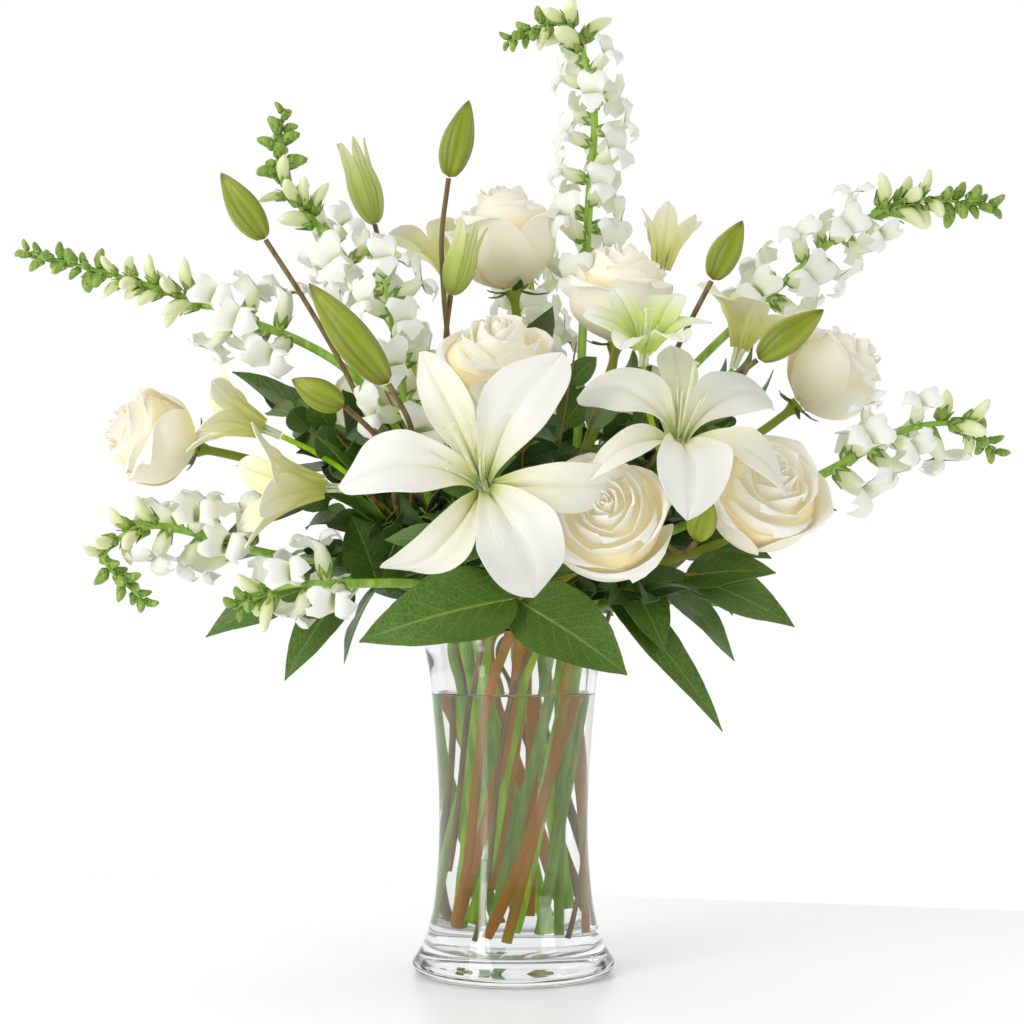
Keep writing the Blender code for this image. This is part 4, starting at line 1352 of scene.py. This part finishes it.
def sepal_blades(seat, axis, size, seed):
    """Five narrow sepals that spring from the hip and fold down."""
    turn = axis_turn(axis)
    dice = random.Random(seed)
    made = []
    for i in range(5):
        angle = 2 * math.pi * i / 5 + dice.uniform(-0.2, 0.2)
        out = turn @ polar(1.0, angle)
        start = seat + out * size * 0.08
        tip = seat + out * size * dice.uniform(0.42, 0.55) + axis * size * dice.uniform(-0.12, 0.22)
        made.append(free_blade(start, tip, axis, size * 0.085, sag=-0.10))
    return made


for k in range(1, 10):
    bloom, stem = f"rose_bloom_{k}", f"rose_stem_{k}"
    path, radii, limbs = read_stem(stem)
    axis = (path[-1] - path[-2]).normalized()
    seat = path[-1]
    reach = [p - seat for p in corners(bloom)[0]]
    width = max((r - axis * r.dot(axis)).length for r in reach)
    height = max(r.dot(axis) for r in reach)
    master = masters[ROSE_OPENNESS[k]]
    tall = height / max(v.co.z for v in master.data.vertices)
    broad = width / max(v.co.xy.length for v in master.data.vertices)
    turn = axis_turn(axis) @ Quaternion((0, 0, 1), math.radians(ROSE_SPIN * k))
    made = placed_copy(master, f"rose_petals_{k}", seat, turn, (broad, broad, tall))
    settle(made, None, "rose_petal", bloom)
    bark = tubes(f"rose_stem_bark_{k}", [stem_run(path, radii, 150)], sides=4)
    settle(bark, rose_bark, "rose_stem_green", stem)
    sepals = sepal_blades(seat - axis * MM, axis, width, k)
    made = leaves(f"rose_sepals_{k}", sepals, narrow_outline, seed=k, rows=10, across=4)
    settle(made, rose_leaf, "rose_stem_green", stem)
    blades = [Blade(limb) for limb in limbs if is_blade(limb)]
    if blades:
        made = leaves(
            f"rose_leaves_{k}", blades, broad_outline, seed=7 * k, rows=30, across=12, teeth=18
        )
        settle(made, rose_leaf, "rose_stem_green", stem)
for master in masters.values():
    bpy.data.objects.remove(master)
print("roses made:", k)

# %% [markdown]
# ## Snapdragons
# A snapdragon opens from the bottom of its spike upwards. Each open floret is a tube with two lips:
# two lobes stand up and three hang down, and a swollen palate closes the mouth between them.
# Higher up come closed, pale buds and then a crowd of small green ones. The floret is one grid,
# rolled into a tube and flared into lips by a formula. It is repeated, so it has few faces.


# %% One floret
SEAM = 0.0005  # the two edges of a rolled grid are this near, at unit size
UPPER_LIP = Line(
    [(0, 0.085, 0.52), (0, 0.13, 0.62), (0, 0.25, 0.74), (0, 0.38, 0.80), (0, 0.50, 0.74)]
)
LOWER_LIP = Line(
    [(0, -0.095, 0.52), (0, -0.015, 0.64), (0, -0.06, 0.80), (0, -0.22, 0.82), (0, -0.38, 0.66)]
)


def floret_notch(turn):
    """How deep the rim is cut between two lobes: one cut above and two below."""
    depth = 0.0
    for spot in (0.25, 0.665, 0.835):
        gap = abs((turn / (2 * math.pi)) % 1.0 - spot)
        depth = max(depth, math.exp(-((min(gap, 1 - gap) / 0.035) ** 2)))
    return depth


def floret_point(u, v):
    """A floret one unit long whose tube runs along +Z, with its upper lip towards +Y."""
    turn = math.pi * (u + 1)
    side, up = math.cos(turn), math.sin(turn)
    tube = min(v / 0.42, 1.0)
    flare = max((v - 0.42) / 0.58, 0.0)
    reach = flare * (1 - 0.34 * floret_notch(turn) * flare)
    wide = between(0.05, 0.175, tube**0.8) + 0.025 * math.sin(math.pi * tube)
    edge = abs(up) ** 0.65
    lip = (UPPER_LIP if up > 0 else LOWER_LIP).at(reach)
    corner = Vector((0, 0, 0.52 + 0.13 * flare))
    spot = corner.lerp(lip, edge)
    tall = between(0.05, 0.095, tube) + 0.06 * math.sin(math.pi * tube)
    if flare == 0.0:
        spot = Vector((0, up * tall, 0.52 * tube))
    lobes = 0.26 * flare * abs(math.sin(turn)) ** 0.6 * (1.0 if up > 0 else 0.75)
    ruffle = flare**1.5 * (0.038 * math.sin(9 * turn + 0.7) + 0.020 * math.sin(17 * turn))
    return Vector((side * (wide + lobes), spot.y, spot.z + ruffle))


def calyx_point(u, v):
    """The small green cup at the root of a floret, with five pointed teeth."""
    turn = math.pi * (u + 1)
    teeth = 0.5 + 0.5 * math.cos(5 * turn)
    radius = 0.02 + 0.105 * min(v * 1.6, 1.0) + 0.03 * v * teeth
    return polar(radius, turn, 0.01 + (0.08 + 0.18 * teeth**0.6) * v)


def floret_master():
    petals = crease(thicken(weld(sheet(9, 20, floret_point), SEAM), 0.016), 70)
    petals.data.materials.append(floret_white)
    calyx = thicken(weld(sheet(2, 10, calyx_point), SEAM), 0.014)
    calyx.data.materials.append(calyx_green)
    return join("floret_master", [petals, calyx])


def bud_master(name, finish, fat, tooth):
    """A closed bud one unit long that hooks downwards, in its calyx."""

    def shape(angle, share):
        cleft = 1 - 0.10 * math.exp(-((math.cos(angle) / 0.3) ** 2)) * share
        return fat * math.sin(math.pi * share**1.15) ** 0.55 * cleft, share

    body = blob("bud", Vector(), Vector((0, 0, 1)), shape, 10, 8)
    for vert in body.data.vertices:
        vert.co.y -= 0.55 * max(vert.co.z - 0.45, 0) ** 1.4
    body.data.materials.append(finish)
    cup = sheet(2, 10, lambda u, v: calyx_point(u, v) * (1.9 * tooth))
    calyx = thicken(weld(cup, SEAM), 0.03)
    calyx.data.materials.append(calyx_green)
    return join(name, [body, calyx])


bud_white = petal_finish(
    "snapdragon_bud",
    ((0.0, (0.40, 0.52, 0.10)), (0.35, (0.66, 0.74, 0.32)),
     (0.70, (0.80, 0.84, 0.52)), (1.0, (0.84, 0.86, 0.60))),
    rib=((0.60, 0.68, 0.26), 0.30), vein=((0.64, 0.72, 0.32), 0.25), count=20.0,
)
floret_open = floret_master()
floret_bud = bud_master("bud_master", bud_white, 0.20, 0.85)
green_bud = bud_master("green_bud_master", calyx_green, 0.29, 1.05)
print("floret faces:", len(floret_open.data.polygons), "bud faces:", len(floret_bud.data.polygons))


# %% Florets along a spike
def facing_turn(aim, up):
    """The turn that brings +Z to aim and +Y as near to up as it can."""
    z = aim.normalized()
    x = up.cross(z).normalized()
    return Matrix((x, z.cross(x), z)).transposed().to_quaternion()


def copies(name, placings):
    """One piece out of many placed copies. placings holds (master, place, turn, size)."""
    built = bmesh.new()
    finishes = []
    for master, place, turn, size in placings:
        mesh = master.data.copy()
        slots = []
        for one in mesh.materials:
            if one not in finishes:
                finishes.append(one)
            slots.append(finishes.index(one))
        mesh.transform(placing(place, turn, size))
        for face in mesh.polygons:
            face.material_index = slots[face.material_index]
        built.from_mesh(mesh)
        bpy.data.meshes.remove(mesh)
    mesh = bpy.data.meshes.new(name)
    built.to_mesh(mesh)
    built.free()
    for one in finishes:
        mesh.materials.append(one)
    return add_object(name, mesh)


def share_of(line, spot, steps=200):
    """The share of a line that is nearest to a spot."""
    return min((i / steps for i in range(steps + 1)), key=lambda s: (line.at(s) - spot).length)


BUD_ZONE = 0.50  # share of a spike above its open florets that carries pale buds


def spike_florets(line, first, last_open, size, seed):
    """Florets, then pale buds, then green ones, on a spiral up a spike from its first floret."""
    dice = random.Random(seed)
    placings = []
    start, end, open_end = first * line.length, line.length, last_open * line.length
    along = start
    turn = dice.uniform(0, 6.3)
    while along < end - 1.5 * MM:
        s = along / line.length
        centre, up = line.at(s), line.along(s)
        across = up.orthogonal().normalized()
        out = across * math.cos(turn) + up.cross(across) * math.sin(turn)
        done = (along - open_end) / max(end - open_end, 1e-6)
        if along <= open_end:
            grow = size * between(1.18, 0.98, (along - start) / max(open_end - start, 1e-6))
            aim = (out + up * dice.uniform(0.05, 0.55)).normalized()
            master, step, fat = floret_open, 7.2 * MM, dice.uniform(0.95, 1.12)
        elif done < BUD_ZONE:
            grow = size * between(0.86, 0.58, done / BUD_ZONE)
            aim = (out + up * dice.uniform(0.5, 1.3)).normalized()
            master, step, fat = floret_bud, 4.6 * MM, dice.uniform(0.78, 1.0)
        else:
            late = (done - BUD_ZONE) / (1 - BUD_ZONE)
            grow = size * between(0.50, 0.26, late) * dice.uniform(0.8, 1.2)
            aim = (out + up * between(0.35, 1.7, late) * dice.uniform(0.6, 1.3)).normalized()
            master, step, fat = green_bud, between(3.5, 2.4, done) * MM, dice.uniform(0.75, 1.0)
        grow *= dice.uniform(0.88, 1.10)
        broad = grow * fat
        placings.append((master, centre + out * 1.2 * MM, facing_turn(aim, up), (broad, broad, grow)))
        along += step
        turn += GOLDEN_ANGLE + dice.uniform(-0.25, 0.25)
    return placings


# How far the florets of a spike go on below the first one of the plain spike.
FLORETS_BELOW = {3: 75 * MM, 4: 25 * MM, 7: 20 * MM, 2: 20 * MM}
for k in range(1, 10):
    node = f"snapdragon_{k}"
    path, radii, limbs = read_stem(node)
    line = Line(path)
    roots = [(share_of(line, middle(limb[0])), len(limb)) for limb in limbs]
    first = min(s for s, _ in roots) - FLORETS_BELOW.get(k, 8 * MM) / line.length
    last_open = max(s for s, rings in roots if rings == 4)
    size = max((middle(limb[-1]) - middle(limb[0])).length for limb in limbs)
    stem = tubes(f"snapdragon_stem_{k}", [stem_run(path, radii, 110)], sides=3)
    settle(stem, spike_green, "snapdragon_petal", node)
    placings = spike_florets(line, first, last_open, size, 30 + k)
    settle(copies(f"snapdragon_florets_{k}", placings), None, "snapdragon_petal", node)
for master in (floret_open, floret_bud, green_bud):
    bpy.data.objects.remove(master)
print("snapdragons made:", k)

# %% [markdown]
# ## Foliage between the flowers
# A florist packs short leafy sprigs between the stems, so that no gap shows behind the blooms. A
# sprig is a thin twig with leaves to either side. Each leaf is tried first, and is left out if it
# would touch a petal or stand in front of the lilies.

# %% Where the petals are
PETAL_WORDS = ("tepals", "petals", "florets", "bud_")
SPRIGS_BEHIND = -0.070  # a leaf that stands over the rim stays behind this, so it hides no front lily
OVER_RIM = 50 * MM
ROSE_ROOM = 26 * MM  # no leaf comes nearer to the middle of a rose


def petal_tree():
    corners_made, faces = [], []
    for piece in all_pieces:
        if any(word in piece.name for word in PETAL_WORDS):
            start = len(corners_made)
            corners_made += [v.co for v in piece.data.vertices]
            faces += [[start + i for i in face.vertices] for face in piece.data.polygons]
    return BVHTree.FromPolygons(corners_made, faces)


petals_near = petal_tree()
rose_middles = [middle(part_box(f"rose_bloom_{k}")) for k in range(1, 10)]


def is_clear(blade, room=2.5 * MM):
    for s in (0.05, 0.3, 0.5, 0.7, 0.85, 1.0):
        centre, side, _ = blade.at(s)
        for across in (-0.7, 0.0, 0.7):
            spot = centre + side * (blade.half_width * broad_outline(s) * across)
            if spot.y < SPRIGS_BEHIND and spot.z > rim_height + OVER_RIM:
                return False
            if petals_near.find_nearest(spot, room)[0] is not None:
                return False
            if any((spot - m).length < ROSE_ROOM for m in rose_middles):
                return False
    return True


# %% Sprigs
def sprig(dice, foot, neck, tip, count, leaf_length):
    """The line of a twig, and its leaves where there is room for them."""
    line = Line([foot, neck, neck.lerp(tip, 0.5) + Vector((0, 0, 8 * MM)), tip])
    first = (neck - foot).length / line.length + 0.06
    made = []
    for i in range(count):
        s = between(first, 1.0, i / (count - 1))
        centre, along = line.at(s), line.along(s)
        out = along.cross(Vector((0, 0, 1))).normalized() * (1 if i % 2 else -1)
        lift = Vector((0, 0, 1))
        heading = (out + along * dice.uniform(0.5, 1.0) + lift * dice.uniform(-0.55, 0.25)).normalized()
        if i == count - 1:
            heading = along
        length = leaf_length * dice.uniform(0.8, 1.15)
        outward = Vector((centre.x, centre.y, 0)).normalized()
        facing = (outward + Vector((0, 0, dice.uniform(0.5, 1.3)))).normalized()
        blade = free_blade(centre, centre + heading * length, facing, length * dice.uniform(0.24, 0.30))
        if is_clear(blade):
            made.append(blade)
    return line, made


SPRIGS = 69
SPRIG_DEPTH = 0.8  # sprigs reach less far forwards and back than to the sides
mouth_radius = inner_wall[0][0]
filler_light = leaf_finish(
    "filler_leaf_light", (0.070, 0.150, 0.030), (0.150, 0.250, 0.065), (0.28, 0.40, 0.14), 7.0, 0.45
)
dice = random.Random(11)
for group, finish in ((0, rose_leaf), (1, lemon_leaf), (2, filler_light)):
    lines, blades = [], []
    for i in range(group, SPRIGS, 3):
        angle = i * GOLDEN_ANGLE
        out = Vector((math.cos(angle), math.sin(angle) * SPRIG_DEPTH, 0))
        foot = out * 10 * MM + Vector((0, 0, rim_height - 6 * MM))
        mouth = out * (mouth_radius - 14 * MM) * dice.uniform(0.5, 1.0)
        neck = mouth + Vector((0, 0, rim_height + 8 * MM))
        high = i % 2 == 1
        spread = dice.uniform(0.035, 0.17) if high else dice.uniform(0.055, 0.135)
        rise = dice.uniform(0.09, 0.165) if high else dice.uniform(0.012, 0.085)
        tip = out * spread + Vector((0, 0, rim_height + rise))
        line, made = sprig(dice, foot, neck, tip, 13 if high else 11, dice.uniform(28, 42) * MM)
        lines.append((line, lambda s: MM * (1.0 - 0.5 * s), 40))
        blades += made
    settle(tubes(f"sprig_twigs_{group + 1}", lines, sides=2), leaf_wood, "lemon_leaf_green")
    made = leaves(f"sprig_leaves_{group + 1}", blades, broad_outline, seed=group, rows=12, across=6)
    settle(made, finish, "lemon_leaf_green")
    print("sprig group", group + 1, "has", len(blades), "leaves")

# %% [markdown]
# ## Table, light and camera
# A pale table ends behind the vase, against a white room. A large soft light from the upper left
# models the petals, a tall narrow one at the left draws a bright line down the glass, and a weaker
# one from the right keeps the far side open.


# %% Table and lights
def stage_finish():
    made, tree, shader, where, _, _ = new_finish(
        "table_white", 0.30, Emission_Color=(1.0, 1.0, 1.0, 1.0), Emission_Strength=0.16
    )
    cloud = noise_of(tree, where, 3.0, 2.0)
    feed(tree, shader, mix_of(tree, cloud, (0.93, 0.93, 0.935), (0.96, 0.96, 0.965)), "Base Color")
    return made


TABLE_SIZE = 6.0
TABLE_BACK = 0.30
TABLE_TURN = math.radians(-14)
bpy.ops.object.select_all(action="DESELECT")
bpy.ops.mesh.primitive_plane_add(size=TABLE_SIZE)
table = bpy.context.object
table.name = "table"
turn = Matrix.Rotation(TABLE_TURN, 4, "Z")
table.data.transform(turn @ Matrix.Translation((0, TABLE_BACK - TABLE_SIZE / 2, 0)))
table.data.materials.append(stage_finish())
table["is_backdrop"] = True


def area_light(name, place, aim, size, power, colour):
    light = bpy.data.lights.new(name, "AREA")
    light.shape = "RECTANGLE"
    light.size, light.size_y = size
    light.energy = power
    light.color = colour
    made = add_object(name, light)
    made.location = place
    made.rotation_euler = (Vector(aim) - Vector(place)).to_track_quat("-Z", "Y").to_euler()


area_light("key_left", (-1.3, -1.2, 1.5), (0, 0, 0.32), (1.0, 1.4), 15, (1.0, 0.99, 0.97))
area_light("strip_left", (-0.9, -0.9, 0.35), (0, 0, 0.12), (0.22, 1.0), 4.0, WHITE)
area_light("fill_right", (1.7, -1.5, 0.8), (0, 0, 0.3), (0.8, 1.2), 7.0, (0.97, 0.985, 1.0))
print("three lights stand round the table")

# %% [markdown]
# The room is white behind the flowers and darker in front of them, so the vase has something pale
# to show through it and something dark to mirror. What the camera sees directly stays white.

# %% The white room
FRONT_LIGHT = 0.34
BACK_LIGHT = 0.95
world = bpy.data.worlds.new("studio")
bpy.context.scene.world = world
world.use_nodes = True
room = world.node_tree
where = room.nodes.new("ShaderNodeTexCoord")
split = room.nodes.new("ShaderNodeSeparateXYZ")
room.links.new(where.outputs["Generated"], split.inputs[0])
behind = scaled(room, split.outputs[1], 1.6, 0.55, clamp=True)
level = scaled(room, behind, BACK_LIGHT - FRONT_LIGHT, FRONT_LIGHT)
seen = room.nodes.new("ShaderNodeLightPath").outputs["Is Camera Ray"]
room.links.new(math_of(room, "MAXIMUM", level, seen), room.nodes["Background"].inputs["Strength"])
room.nodes["Background"].inputs["Color"].default_value = (*WHITE, 1.0)
print("the room's light is", FRONT_LIGHT, "in front and", BACK_LIGHT, "behind")

# %% The camera
camera_data = bpy.data.cameras.new("camera")
camera = add_object("camera", camera_data)
camera.location = (0, -1.10, 0.21)
camera.rotation_euler = (math.radians(90), 0, 0)
camera_data.lens = 65.5
camera_data.shift_x = -0.0015
camera_data.shift_y = 0.10
bpy.context.scene.camera = camera
print("camera at", tuple(camera.location), "with a", camera_data.lens, "mm lens")

# %% [markdown]
# ## Size
# The finished bouquet's box is measured against the plain model's, and the growth is printed.

# %% Size and finish
made_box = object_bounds()
growth = [(a - b) / MM for a, b in zip(made_box[1] - made_box[0], cad_box[1] - cad_box[0])]
print("visual model is larger by", [round(g, 1) for g in growth], "mm")
print("triangles:", sum(len(p.data.polygons) for p in all_pieces) * 2)
